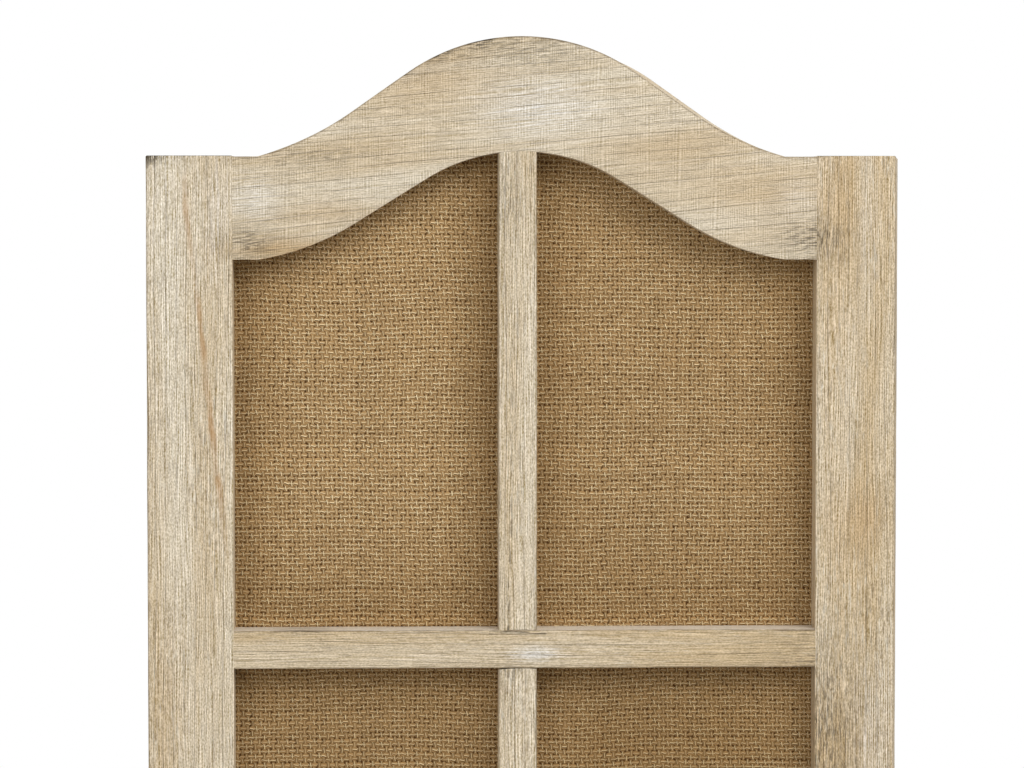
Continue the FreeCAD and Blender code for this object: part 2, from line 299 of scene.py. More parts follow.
def makeGrain():
    look = grainLook
    tree, b, given, out = newGroup(
        "boardGrain", "Grain", ("Ring Spacing", "Ring Wander"),
        ("Fibre", "Grit", "Dark", "Light", "Rings", "Saw", "Band"),
    )
    swerve = b.swing(b.noise(given["Grain"], look["swerve"], detail=2), 2 * look["wander"])
    grain = b.vector("ADD", given["Grain"], b.join(0, swerve, swerve))

    def lines(scales, shift):
        # thin lines follow the middle level of a long noise, and stop and start
        lineScales, gapScales = scales
        level = b.noise(grain, lineScales, shift, detail=1.5)
        line = b.ramp(b.math("ABSOLUTE", b.minus(level, 0.5)), look["lineHalf"], 0.0)
        gaps = b.noise(grain, gapScales, (shift[2], shift[0], shift[1]), detail=2)
        return b.times(line, b.ramp(gaps, *look["lineGaps"]))

    def combed(place, spacing, scales, shift):
        # lines side by side at uneven distances, from -1 to 1, stronger in some places
        phaseScales, gapScales = scales
        phase = b.noise(grain, phaseScales, shift, detail=2, roughness=0.6)
        turns = b.plus(b.math("DIVIDE", place, spacing), b.times(phase, look["unevenness"]))
        wave = b.math("SINE", b.times(turns, 2 * math.pi))
        gaps = b.noise(grain, gapScales, (shift[1], shift[2], shift[0]), detail=2, roughness=0.6)
        return b.times(wave, b.ramp(gaps, *look["combGaps"], look["combFaint"], 1.0))

    along, across, deep = b.split(grain)
    fibre = combed(b.plus(across, deep), look["fibreSpacing"], look["fibre"], (13, 7, 23))
    b.feed(out["Fibre"], b.math("MULTIPLY_ADD", fibre, 0.5, 0.5))
    grit = b.noise(grain, look["grit"], (6, 6, 1), detail=1)
    b.feed(out["Grit"], b.ramp(grit, *look["gritRange"], smooth=False))
    b.feed(out["Dark"], lines(look["dark"], (31, 17, 5)))
    b.feed(out["Light"], lines(look["light"], (11, 43, 29)))

    # growth rings show as thin broken lines
    sway = b.noise(grain, look["ringSway"], (5, 9, 2), detail=2)
    turns = b.plus(b.math("DIVIDE", across, given["Ring Spacing"]), b.times(sway, given["Ring Wander"]))
    apart = b.math("ABSOLUTE", b.minus(b.math("FRACT", turns), 0.5))
    ring = b.ramp(apart, look["ringHalf"], 0.0)
    gaps = b.noise(grain, look["ringBreaks"], (2, 8, 4), detail=3, roughness=0.7)
    b.feed(out["Rings"], b.times(ring, b.ramp(gaps, *look["ringGaps"])))

    # marks of the saw lie square to the fibres
    b.feed(out["Saw"], combed(along, look["sawSpacing"], look["saw"], (3, 1, 7)))

    band = b.noise(grain, look["band"], (4, 2, 9), detail=3, roughness=0.55)
    b.feed(out["Band"], b.ramp(band, *look["bandRange"]))
    return tree


# Wear along the edges of boards and of steel
edgeLook = {"spots": (90, 420, 420), "range": (0.55, 1.05)}


def makeEdgeWear():
    tree, b, given, out = newGroup("edgeWear", "Place", ("Edge", "Grit"), ("Worn",))
    spots = b.noise(given["Place"], edgeLook["spots"], detail=4, roughness=0.7)
    reach = b.plus(given["Edge"], b.swing(spots, given["Grit"]))
    b.feed(out["Worn"], b.ramp(reach, *edgeLook["range"]))
    return tree


boardGrain = makeGrain()
edgeWear = makeEdgeWear()


# Pale brushed wood with thin white paint rubbed into it
woodColours = {
    "raw": linear(200, 177, 140),
    "pale": linear(224, 213, 192),
    "white": linear(228, 226, 221),
    "tan": linear(188, 152, 106),
    "resin": linear(176, 132, 82),
    "dark": linear(108, 84, 52),
    "light": linear(246, 240, 224),
    "ring": linear(104, 90, 70),
    "smudge": linear(46, 38, 26),
    "veil": linear(132, 116, 92),
    "side": linear(202, 178, 142),
    "edge": linear(104, 84, 56),
}
tanStreak = {
    "width": (0.0022, 0.0002),
    "scales": (38, 90, 90),
    "shift": (2, 2, 5),
    "gaps": (0.36, 0.56, 0.4),
}
darkStreak = {
    "width": (0.0012, 0.0001),
    "scales": (120, 700, 700),
    "shift": (0, 0, 0),
    "gaps": (0.4, 0.6, 0.0),
}
woodLook = {
    "ringWander": 2.6,
    "bandWash": 0.55,
    "tanLoss": 0.7,  # white that is missing where the wood is tan
    "tan": 0.45,
    "brush": 0.55,
    "brushRidges": 0.6,  # more of the brushed white, on the ridges of fibres
    "brushRange": (0.1, 0.9),
    "white": 0.7,
    "sawnLoss": 0.5,  # fibres and grit that sawing or planing took off
    "fibre": 0.76,
    "grit": 0.62,
    "saw": 0.2,
    "hollowTint": (0.9, 1.0, 1.3),
    "zoneScales": (14, 55, 55),
    "zoneRange": (0.35, 0.65),
    "zones": (0.2, 0.6),  # dark and light lines where they are faint and where they are strong
    "sawnZones": 0.15,
    "rings": 0.55,
    "wobbleScales": (60, 300, 300),
    "wobble": 0.003,  # of a streak about its line
    "grimeScales": (170, 1350, 1350),
    "grimeRange": (0.49, 0.56),
    "grime": 0.85,
    "veil": 0.18,
    "side": 0.3,
    "edgeGrit": 1.8,
    "edge": 0.5,
    "smudgedEdge": 0.4,
    "roughness": (0.86, 0.72),  # of hollows and of ridges
    "specular": 0.3,
    "fibreHeight": 0.6,
    "lightHeight": 0.5,
    "ringHeight": 0.7,
    "sawHeight": 0.35,
    "bump": (0.0002, 0.8),
}


def makeWood(name, washShift, ringSpacing):
    material, b, shader = newMaterial(name)
    c, look = woodColours, woodLook
    grain = b.attribute("grain")
    edge, side, tone = b.split(b.attribute("finish"))
    white, tan, smudge = b.split(b.attribute("marks"))
    tanLine, darkLine, sawn = b.split(b.attribute("streaks"))
    tanPower, darkPower, _ = b.split(b.attribute("powers"))
    figure = b.group(boardGrain, **{
        "Grain": grain, "Ring Spacing": ringSpacing, "Ring Wander": look["ringWander"]})
    smudged = b.math("MINIMUM", smudge, 1.0)
    smoothed = b.math("ABSOLUTE", sawn)

    # how much of the white stays on: more on bands of soft wood and where it was brushed on, less where
    # painted shade lowers the tone of an upright
    wash = b.plus(b.times(figure["Band"], look["bandWash"]), b.plus(tone, washShift))
    wash = b.minus(wash, b.times(tan, look["tanLoss"]), clamp=True)
    colour = b.mix(wash, c["raw"], c["pale"])
    colour = b.mix(b.times(tan, look["tan"], clamp=True), colour, c["tan"])
    # the white marks also carry the painted light on the upper sides of level bars
    brushed = b.times(white, b.plus(look["brush"], b.times(figure["Fibre"], look["brushRidges"])))
    brushed = b.ramp(brushed, *look["brushRange"])
    colour = b.mix(b.times(brushed, look["white"]), colour, c["white"])

    # fibres and saw marks
    sawMarks = b.times(figure["Saw"], b.math("MAXIMUM", sawn, 0.0))
    roughLeft = b.minus(1.0, b.times(smoothed, look["sawnLoss"]))
    relief = b.swing(figure["Fibre"], b.times(roughLeft, look["fibre"]))
    relief = b.plus(relief, b.swing(figure["Grit"], b.times(roughLeft, look["grit"])))
    relief = b.plus(relief, b.times(sawMarks, look["saw"]))
    # hollows keep the colour of the wood and ridges the white
    colour = b.mix(1.0, colour, b.tint(relief, look["hollowTint"]), "MULTIPLY")
    zone = b.noise(grain, look["zoneScales"], (9, 7, 3), detail=2)
    zone = b.ramp(zone, *look["zoneRange"], *look["zones"])
    zone = b.times(zone, b.ramp(smoothed, 0, 1, 1.0, look["sawnZones"], smooth=False))
    colour = b.mix(b.times(figure["Dark"], zone), colour, c["dark"])
    colour = b.mix(b.times(figure["Light"], zone), colour, c["light"])
    colour = b.mix(b.times(figure["Rings"], look["rings"]), colour, c["ring"])

    # a resin streak and a dark streak, each along its own line
    wobble = b.swing(b.noise(grain, look["wobbleScales"], (8, 8, 8), detail=3), look["wobble"])

    def streak(line, width, scales, shift, gaps):
        mask = b.ramp(b.math("ABSOLUTE", b.plus(line, wobble)), *width)
        return b.times(mask, b.ramp(b.noise(grain, scales, shift, detail=2), *gaps))

    colour = b.mix(b.times(streak(tanLine, **tanStreak), tanPower), colour, c["resin"])
    colour = b.mix(b.times(streak(darkLine, **darkStreak), darkPower), colour, c["smudge"])

    # smudges stay in the hollows between fibres, as dark scratches under a thin veil
    grime = b.noise(grain, look["grimeScales"], (6, 2, 8), detail=2, roughness=0.6)
    grime = b.times(b.ramp(grime, *look["grimeRange"]), smudged)
    colour = b.mix(b.times(smudged, look["veil"]), colour, c["veil"])
    colour = b.mix(b.times(grime, look["grime"]), colour, c["smudge"])

    # edges and side faces have lost their white
    colour = b.mix(b.times(side, look["side"]), colour, c["side"])
    nearEdge = b.minus(1.0, edge, clamp=True)
    worn = b.group(edgeWear, Place=grain, Edge=nearEdge, Grit=look["edgeGrit"])["Worn"]
    worn = b.times(worn, b.math("MULTIPLY_ADD", smudged, look["smudgedEdge"], look["edge"]))
    colour = b.mix(worn, colour, b.mix(smudged, c["edge"], c["smudge"]))
    b.feed(shader["Base Color"], colour)

    b.feed(shader["Roughness"], b.ramp(figure["Fibre"], 0, 1, *look["roughness"], smooth=False))
    shader["Specular IOR Level"].default_value = look["specular"]
    height = b.minus(b.times(figure["Fibre"], look["fibreHeight"]), figure["Dark"])
    height = b.plus(height, b.times(figure["Light"], look["lightHeight"]))
    height = b.minus(height, b.times(figure["Rings"], look["ringHeight"]))
    height = b.plus(height, b.times(sawMarks, look["sawHeight"]))
    b.feed(shader["Normal"], b.bump(height, *look["bump"]))
    return material


# Plain weave of coarse jute yarns
weaveLook = {
    "warpPitch": 0.00212,  # upright yarns
    "weftPitch": 0.00223,  # level yarns
    "slowWander": 2.4,  # of yarns, in pitches
    "quickWander": 0.8,
    "warpHalf": 0.41,  # half a yarn's width, in pitches
    "weftHalf": 0.43,
    "slub": 0.36,  # how much thicker and thinner a yarn gets
    "jog": 0.16,  # how uneven the distances between yarns are
    "crimp": 0.55,
    "roundness": 0.6,
    "levels": (-0.5, 1.15),
    "strandHalf": 0.095,  # half the width of the painted highlight along the top of a yarn
    "strandSlub": 0.12,
    "strandTwist": 0.34,
    "slant": 0.16,  # the twist of the yarns lays the strands askew
    "warpStart": -0.2,  # the rise at which a yarn's painted highlight starts to show
    "weftStart": -0.8,
    "startFade": 0.4,
    "strandRange": (0.4, 0.95),  # weakest and strongest painted highlights
    "warpDusk": 0.8,  # the upright yarns are darker
    "pitScales": (420, 420, 0),
    "pits": (0.36, 0.62, 0.0, 0.72),
    "pitFade": 0.4,
    "fuzz": (2400, 500),  # across and along a yarn
}


def makeWeave():
    look = weaveLook
    tree, b, given, out = newGroup(
        "plainWeave", "Cloth", ("Warp Pitch", "Weft Pitch"),
        ("Height", "Pit Shade", "Strand Highlight", "Strand Shadow", "Yarn", "Fuzz"),
    )
    # the cloth was pulled by hand, so the yarns wander
    cloth = given["Cloth"]
    across, up, _ = b.split(cloth)
    slow = b.noise(cloth, (11, 13, 0), detail=1)
    slowUp = b.noise(cloth, (13, 9, 0), (5, 5, 5), detail=1)
    quick = b.noise(cloth, (150, 75, 0), (2, 4, 6), detail=2)
    quickUp = b.noise(cloth, (75, 150, 0), (9, 4, 1), detail=2)

    def wandering(place, pitch, slowNoise, quickNoise):
        turns = b.math("DIVIDE", place, pitch)
        turns = b.plus(turns, b.times(slowNoise, look["slowWander"]))
        return b.plus(turns, b.times(quickNoise, look["quickWander"]))

    warps = wandering(across, given["Warp Pitch"], slow, quick)
    wefts = wandering(up, given["Weft Pitch"], slowUp, quickUp)
    warpNumber = b.math("FLOOR", warps)
    weftNumber = b.math("FLOOR", wefts)
    warpTone = b.random(warpNumber, 0.37)
    weftTone = b.random(weftNumber, 91.73)
    fromWarp = b.minus(b.math("FRACT", warps), 0.5)
    fromWeft = b.minus(b.math("FRACT", wefts), 0.5)

    # thick and thin places along each yarn, and the lie of its strands
    alongWarp = b.join(warpNumber, up, 0)
    alongWeft = b.join(across, weftNumber, 0)
    warpSlub = b.noise(alongWarp, (0.37, 130, 1), detail=2)
    weftSlub = b.noise(alongWeft, (130, 0.37, 1), (3, 3, 3), detail=2)
    warpTwist = b.noise(alongWarp, (5.3, 420, 1), (1, 2, 3), detail=2)
    weftTwist = b.noise(alongWeft, (420, 5.3, 1), (3, 2, 1), detail=2)

    def jogged(offset, tone):
        return b.plus(offset, b.swing(tone, look["jog"]))

    def profile(offset, tone, slub, half):
        width = b.plus(half, b.swing(slub, look["slub"]))
        share = b.math("DIVIDE", jogged(offset, tone), width)
        inside = b.minus(1.0, b.times(share, share))
        return b.math("SQRT", b.math("MAXIMUM", inside, 0.0))

    warpRound = profile(fromWarp, warpTone, warpSlub, look["warpHalf"])
    weftRound = profile(fromWeft, weftTone, weftSlub, look["weftHalf"])

    # over one, under one
    parity = b.math("FLOORED_MODULO", b.plus(warpNumber, weftNumber), 2.0)
    warpOver = b.minus(1.0, b.times(parity, 2.0))
    weftOver = b.times(warpOver, -1.0)
    warpRise = b.times(b.math("COSINE", b.times(fromWeft, math.pi)), warpOver)
    weftRise = b.times(b.math("COSINE", b.times(fromWarp, math.pi)), weftOver)

    def lifted(rise, roundness):
        height = b.plus(b.times(rise, look["crimp"]), b.times(roundness, look["roundness"]))
        there = b.ramp(roundness, 0.0, 0.25)
        return b.minus(height, b.times(b.minus(1.0, there), 2.0))

    warpLevel = lifted(warpRise, warpRound)
    weftLevel = lifted(weftRise, weftRound)
    top = b.math("MAXIMUM", warpLevel, weftLevel)
    warpShows = b.math("GREATER_THAN", warpLevel, weftLevel)
    weftShows = b.minus(1.0, warpShows)
    b.feed(out["Height"], b.ramp(top, *look["levels"], smooth=False))

    def choose(warpValue, weftValue):
        return b.plus(b.times(warpValue, warpShows), b.times(weftValue, weftShows))

    # painted highlights: pale strands where a yarn lies on top
    def strand(offset, other, tone, slub, twist, rise, start):
        place = b.plus(jogged(offset, tone), b.times(other, look["slant"]))
        place = b.plus(place, b.swing(twist, look["strandTwist"]))
        width = b.plus(look["strandHalf"], b.swing(slub, look["strandSlub"]))
        pale = b.ramp(b.math("ABSOLUTE", place), width, b.times(width, 0.4))
        # painted shadow: the strand shades a narrow line beside and below it
        beside = b.math("ABSOLUTE", b.plus(place, b.times(width, 1.8)))
        paintedShade = b.ramp(beside, b.times(width, 1.2), b.times(width, 0.4))
        shows = b.ramp(rise, start, start + look["startFade"])
        return pale, b.times(pale, shows), b.times(paintedShade, shows)

    _, warpHighlight, warpShadow = strand(
        fromWarp, fromWeft, warpTone, warpSlub, warpTwist, warpRise, look["warpStart"])
    weftGlint, weftHighlight, weftShadow = strand(
        fromWeft, fromWarp, weftTone, weftSlub, weftTwist, weftRise, look["weftStart"])
    cell = b.add("ShaderNodeTexWhiteNoise", noise_dimensions="2D")
    b.feed(cell.inputs["Vector"], b.join(warpNumber, weftNumber, 0))
    chance = b.ramp(cell.outputs["Value"], 0, 1, *look["strandRange"], smooth=False)
    # here and there the painted highlight of a level yarn runs over the upright yarn too
    through = b.times(weftGlint, b.ramp(cell.outputs["Value"], 0.5, 0.6, 0.0, 0.5))
    strands = b.times(choose(warpHighlight, weftHighlight), chance)
    b.feed(out["Strand Highlight"], b.math("MAXIMUM", strands, through))
    b.feed(out["Strand Shadow"], b.times(choose(warpShadow, weftShadow), chance))
    b.feed(out["Yarn"], choose(b.minus(warpTone, look["warpDusk"]), weftTone))

    # painted shade in the pits between yarns, deeper in some places than in others
    pitShade = b.ramp(b.noise(cloth, look["pitScales"], (4, 8, 2), detail=2), *look["pits"])
    b.feed(out["Pit Shade"], b.ramp(top, pitShade, b.minus(pitShade, look["pitFade"])))

    # loose fibres lie along the yarn on top
    fine, long = look["fuzz"]
    warpFuzz = b.noise(cloth, (fine, long, 0), detail=2, roughness=0.6)
    weftFuzz = b.noise(cloth, (long, fine, 0), (7, 7, 7), detail=2, roughness=0.6)
    b.feed(out["Fuzz"], choose(warpFuzz, weftFuzz))
    return tree


plainWeave = makeWeave()

clothColours = {
    # painted shade in the pits between yarns and beside the strands
    "gap": linear(66, 38, 12),
    # low and high are painted shade, for the sunken and the raised parts of the weave
    "low": linear(146, 115, 74),
    "high": linear(162, 130, 87),
    # painted highlight along the tops of the yarns
    "pale": linear(255, 236, 192),
}
juteLook = {
    "heights": (0.30, 0.75),  # painted shade: from the low colour to the high one as the weave rises
    "tint": 0.09,
    "yarnTint": 0.24,
    "fuzzTint": 1.65,
    "patchTint": 0.18,
    "patchScales": (22, 22, 0),
    # painted shade, in red, green and blue, where the cloth's shade share is full
    "shadeTint": (-0.20, -0.23, -0.28),
    "gap": 0.95,
    "flank": 0.82,
    "roughness": 0.92,
    "specular": 0.12,
    "sheen": 0.08,
    "strandHeight": 0.3,
    "bump": (0.0004, 0.35),
}


def makeBurlap(name):
    material, b, shader = newMaterial(name)
    c, look = clothColours, juteLook
    cloth = b.attribute("cloth")
    weave = b.group(plainWeave, **{
        "Cloth": cloth, "Warp Pitch": weaveLook["warpPitch"], "Weft Pitch": weaveLook["weftPitch"]})
    # painted shade: the sunken parts of the weave are coloured darker
    colour = b.mix(b.ramp(weave["Height"], *look["heights"]), c["low"], c["high"])
    tint = b.plus(b.times(weave["Yarn"], look["yarnTint"]), b.times(weave["Fuzz"], look["fuzzTint"]))
    patch = b.noise(cloth, look["patchScales"], (3, 5, 7), detail=3)
    tint = b.plus(b.plus(tint, look["tint"]), b.times(patch, look["patchTint"]))
    colour = b.mix(1.0, colour, b.join(tint, tint, tint), "MULTIPLY")
    # painted shade: the cloth is darkened beside the bars, in the lower panes and in the right-hand ones
    shadeTint = b.tint(b.split(cloth)[2], look["shadeTint"])
    colour = b.mix(1.0, colour, shadeTint, "MULTIPLY")
    # painted shade in the pits between yarns
    colour = b.mix(b.times(weave["Pit Shade"], look["gap"]), colour, c["gap"])
    # painted shadow beside and below each strand
    colour = b.mix(b.times(weave["Strand Shadow"], look["flank"]), colour, c["gap"])
    # painted highlight along the top of each yarn, dimmed with the painted shade
    colour = b.mix(weave["Strand Highlight"], colour, b.mix(1.0, c["pale"], shadeTint, "MULTIPLY"))
    b.feed(shader["Base Color"], colour)
    shader["Roughness"].default_value = look["roughness"]
    shader["Specular IOR Level"].default_value = look["specular"]
    shader["Sheen Weight"].default_value = look["sheen"]
    height = b.plus(weave["Height"], b.times(weave["Strand Highlight"], look["strandHeight"]))
    b.feed(shader["Normal"], b.bump(height, *look["bump"]))
    return material


# Zinc-plated steel, dull, with brighter rubbed edges
steelLook = {
    "clouds": (180, 180, 180),
    "scratches": (900, 900, 60),
    "rubbed": linear(224, 222, 214),
    "rubbedStrength": 0.6,
    "edgeGrit": 1.2,
    "rougher": 0.14,  # than the plain roughness, in scratches
    "smoother": 0.08,  # between them
    "bump": (0.00004, 0.6),
}


def makeSteel(name, dull, bright, roughness):
    material, b, shader = newMaterial(name)
    look = steelLook
    place = b.add("ShaderNodeTexCoord").outputs["Object"]
    clouds = b.noise(place, look["clouds"], detail=4, roughness=0.6)
    scratches = b.noise(place, look["scratches"], (3, 1, 2), detail=3, roughness=0.7)
    edge = b.split(b.attribute("finish"))[0]
    worn = b.group(edgeWear, Place=place, Edge=edge, Grit=look["edgeGrit"])["Worn"]
    colour = b.mix(b.ramp(clouds, 0.3, 0.7), dull, bright)
    colour = b.mix(b.times(worn, look["rubbedStrength"]), colour, look["rubbed"])
    b.feed(shader["Base Color"], colour)
    shader["Metallic"].default_value = 1.0
    ends = (roughness + look["rougher"], roughness - look["smoother"])
    b.feed(shader["Roughness"], b.ramp(scratches, 0.2, 0.8, *ends, smooth=False))
    b.feed(shader["Normal"], b.bump(scratches, *look["bump"]))
    return material


frameWood = makeWood("whitewashedWood", washShift=0.22, ringSpacing=0.0046)
beadWood = makeWood("beadWood", washShift=0.02, ringSpacing=0.0034)
burlapCloth = makeBurlap("juteBurlap")
hingeSteel = makeSteel("zincSteel", linear(150, 148, 140), linear(196, 194, 186), roughness=0.38)
screwSteel = makeSteel("screwSteel", linear(164, 160, 146), linear(206, 202, 188), roughness=0.32)
bradSteel = makeSteel("bradSteel", linear(120, 116, 108), linear(164, 160, 150), roughness=0.45)
print("materials made")


# Outline of a cut across a piece: corners are (across, deep, radius, steps to the next corner).
# Each point comes with the way out of the piece and its distance from the nearest rounded edge.
farFromEdge = 0.02
tightEdge = 0.0002  # edges as sharp as this are joints and cuts, which don't wear


def roundedLoop(corners, cornerSteps=3):
    points = []
    for number, (across, deep, radius, steps) in enumerate(corners):
        here = Vector((across, deep))
        before = Vector(corners[number - 1][:2])
        following = corners[(number + 1) % len(corners)]
        after = Vector(following[:2])
        back = (before - here).normalized()
        ahead = (after - here).normalized()
        if radius > 0:
            centre = here + radius * (back + ahead)
            for turn in range(cornerSteps + 1):
                angle = math.pi / 2 * turn / cornerSteps
                out = -(ahead * math.cos(angle) + back * math.sin(angle))
                points.append((centre + radius * out, out, 0.0 if radius > tightEdge else farFromEdge))
        else:
            points.append((here, -(ahead + back).normalized(), farFromEdge))
        start = here + ahead * radius
        end = after - ahead * following[2]
        out = Vector((ahead.y, -ahead.x))
        length = (end - start).length
        for step in range(1, steps):
            share = step / steps
            fromStart = share * length if radius > tightEdge else farFromEdge
            fromEnd = (1 - share) * length if following[2] > tightEdge else farFromEdge
            points.append((start.lerp(end, share), out, min(fromStart, fromEnd)))
    return points


# Places along a piece. Each break comes twice, so that the cut can change there in one step.
def placesAlong(start, end, step, breaks=()):
    marks = [start, *sorted(breaks), end]
    places = []
    for low, high in zip(marks, marks[1:]):
        count = max(1, round((high - low) / step))
        places += [(low + (high - low) * number / count, (low + high) / 2) for number in range(count + 1)]
    return places


def ripple(point, size, shift):
    return noise.noise(Vector(point) * size + Vector((shift, shift * 0.7, -shift)))


def upright(at, across, deep):
    return Vector((across, deep, at))


def level(at, across, deep):
    return Vector((at, deep, across))


layerNames = ("grain", "finish", "marks", "streaks", "powers")
markKinds = ("white", "tan", "smudge")
noMarks = {kind: [] for kind in markKinds}


def newBoard():
    bm = bmesh.new()
    return bm, {name: bm.verts.layers.float_vector.new(name) for name in layerNames}


# Closes a row of rings into a skin with two ends
def skinRings(bm, rings):
    for low, high in zip(rings, rings[1:]):
        for number in range(len(low)):
            after = (number + 1) % len(low)
            bm.faces.new((low[number], low[after], high[after], high[number]))
    bm.faces.new(rings[0])
    bm.faces.new(rings[-1])


# Sets a mesh up as a piece of the object, in its place on its body
def finishPiece(bm, name, body, material, slotName, smoothAngle=38):
    bmesh.ops.remove_doubles(bm, verts=bm.verts, dist=1e-6)
    bmesh.ops.dissolve_degenerate(bm, edges=bm.edges, dist=1e-7)
    bmesh.ops.recalc_face_normals(bm, faces=bm.faces)
    mesh = bpy.data.meshes.new(name)
    bm.to_mesh(mesh)
    bm.free()
    mesh.transform(panelPlaces[body])
    mesh.shade_smooth()
    mesh.set_sharp_from_angle(angle=math.radians(smoothAngle))
    mesh.materials.append(material)
    piece = bpy.data.objects.new(name + ".look", mesh)
    bpy.context.scene.collection.objects.link(piece)
    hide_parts(name)
    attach(piece, body)
    return piece


# How a wooden piece is drawn, unless it says otherwise
boardLook = {
    "step": 0.006,
    "faceStep": 0.0045,
    "ease": 0.0004,  # rounding of fresh edges
    "wear": 0.0016,  # further rounding where they are knocked
    "knockSize": 42,
    "ripple": 0.00010,
    "rippleSize": 38,
    "endEase": 0.0005,
    "joinedEase": 0.0001,  # edges in or beside a joint
    "edgeWidth": 0.0009,  # of the band that is worn along an edge
    "tone": 0.0,
    "toneSpread": 0.05,
    "footShade": 0.0,  # painted shade: added to the tone of an upright, lower down
    "footShadeStart": 0.17,  # above the first crossbar, where that begins
    "footShadeFade": 0.16,
    "topLight": 0.0,  # painted light: white added on the upper side of a level bar, as if lit from above
    "sawn": 0.0,  # 1 where marks of the saw show, below 0 where the wood is only smooth
    "tilt": 0.0,  # of the grain against the piece
    "tanLine": None,
    "darkLine": None,
}
markReach = 9  # square of the distance at which a mark has faded out, in sizes of the mark


def lineOffset(line, along, across):
    # distance from a line through (along, across, strength) points, and its strength there
    if line and line[0][0] <= along <= line[-1][0]:
        for first, second in zip(line, line[1:]):
            if along <= second[0]:
                share = (along - first[0]) / (second[0] - first[0])
                _, middle, strength = Vector(first).lerp(Vector(second), share)
                return across - middle, strength
    return 1.0, 0.0


def markStrength(marks, x, z):
    total = 0.0
    for (markX, markZ), (wide, high), strength in marks:
        far = ((x - markX) / wide) ** 2 + ((z - markZ) / high) ** 2
        if far < markReach:
            total += strength * math.exp(-far)
    return total


def edgeRadius(look, at, seed):
    knock = max(0.0, ripple((at, 0, 0), look["knockSize"], seed))
    return look["ease"] + look["wear"] * knock ** 2


# Draws one wooden piece: a cut that changes along a straight line
def makeBoard(name, panel, places, cut, lie, marks, seed, topAt=None, **changes):
    look = boardLook | changes
    rng = random.Random(seed)
    shift = rng.uniform(0, 50)
    grainShift = Vector((rng.uniform(0, 9), rng.uniform(0, 9), rng.uniform(0, 9)))
    tone = look["tone"] + rng.uniform(-look["toneSpread"], look["toneSpread"])
    start, end = places[0][0], places[-1][0]
    footShadeTop = crossbarZ[0][1] + look["footShadeStart"]
    bm, layers = newBoard()
    rings = []
    stops = [(at, middle, 0.0) for at, middle in places]
    ease = look["endEase"]
    if ease:
        stops = ([(start, stops[0][1], ease), (start + ease, stops[0][1], 0.0)] + stops[1:-1]
                 + [(end - ease, stops[-1][1], 0.0), (end, stops[-1][1], ease)])
    for at, middle, shrink in stops:
        fromEnd = min(at - start, end - at) if ease else farFromEdge
        # painted shade: uprights are darker lower down
        footShadeShare = min(1.0, max(0.0, (footShadeTop - at) / look["footShadeFade"]))
        toneHere = tone + look["footShade"] * footShadeShare
        ring = []
        for point, out, fromEdge in cut(at, middle, shift):
            across, deep = point
            bare = lie(at, across, deep)
            swell = look["ripple"] * ripple(bare, look["rippleSize"], shift) - shrink
            spot = lie(at, across + out.x * swell, deep + out.y * swell)
            if topAt:
                spot.z = start + (spot.z - start) * (topAt(spot.x) - start) / (end - start)
            vert = bm.verts.new(spot)
            lean = across - look["tilt"] * at
            vert[layers["grain"]] = Vector((at, lean, deep)) + grainShift
            rim = min(fromEdge, fromEnd) / look["edgeWidth"]
            vert[layers["finish"]] = Vector((rim, abs(out.x), toneHere))
            white, tan, smudge = [markStrength(marks[kind], bare.x, bare.z) for kind in markKinds]
            # painted light on the upper side of a level bar
            white += look["topLight"] * max(0.0, out.x)
            vert[layers["marks"]] = Vector((white, tan, smudge))
            shown = 1.0 if out.y < -0.5 else 0.0  # streaks are on the front only
            fromTan, tanPower = lineOffset(look["tanLine"], at, across)
            fromDark, darkPower = lineOffset(look["darkLine"], at, across)
            vert[layers["streaks"]] = Vector((fromTan, fromDark, look["sawn"]))
            vert[layers["powers"]] = Vector((tanPower * shown, darkPower * shown, 0))
            ring.append(vert)
        rings.append(ring)
    skinRings(bm, rings)
    return finishPiece(bm, f"{panel}_{name}", panel, look["material"], look["slot"])


frameFinish = {"material": frameWood, "slot": "whitewashed_wood"}
beadFinish = {"material": beadWood, "slot": "bead_wood", "ripple": 0.00005}


def steps(low, high, size):
    return max(1, round(abs(high - low) / size))


# Stiles, with a rebate at the back of the inner edge along the opening
stileLook = {
    "left": {"tone": 0.14, "footShade": -0.14},
    "right": {"tone": -0.16, "footShade": -0.1, "ease": 0.0003, "wear": 0.0005, "edgeWidth": 0.0003},
}
rebateZ = (openBottom - rebateWidth, crestBottom + rebateWidth)


def mirrored(corners):
    # the same corners the other way round, with each side's steps kept
    swapped = []
    for number in range(len(corners) - 1, -1, -1):
        across, deep, radius, _ = corners[number]
        swapped.append((across, deep, radius, corners[number - 1][3]))
    return swapped


def makeStile(panel, side, marks, seed, **changes):
    look = boardLook | stileLook[side] | frameFinish | changes
    outer = -panelWidth / 2 if side == "left" else panelWidth / 2
    inner = openLeft if side == "left" else openRight
    inward = 1 if side == "left" else -1
    faceSteps = steps(outer, inner, look["faceStep"])
    rebated = inner - inward * rebateWidth

    def cut(at, middle, shift):
        radii = [edgeRadius(look, at, shift + number * 7) for number in range(2)]
        inRebate = rebateZ[0] < middle < rebateZ[1]
        corner = (rebated, clothY[0]) if inRebate else (inner, frameDepth)
        corners = [
            (outer, 0, radii[0], faceSteps),
            (inner, 0, look["joinedEase"], 4),
            (inner, clothY[0], 0, 1),
            (*corner, 0, 1),
            (rebated, frameDepth, 0, faceSteps - 2),
            (outer, frameDepth, radii[1], 4),
        ]
        if side == "right":
            corners = mirrored(corners)
        return roundedLoop(corners)

    places = placesAlong(0, stileTop, look["step"], rebateZ)
    return makeBoard(f"{side}_stile", panel, places, cut, upright, marks, seed, **look)


# Crest rail: its cut grows and sinks with the two arches
crestLook = {
    "tone": 0.16,
    "step": 0.0035,
    "sawn": 1.0,
    "tilt": 0.10,
    "endEase": 0.0,
    "wear": 0.0006,
    "edgeWidth": 0.0013,
}
crestKinks = (-crestRun, crestRun)


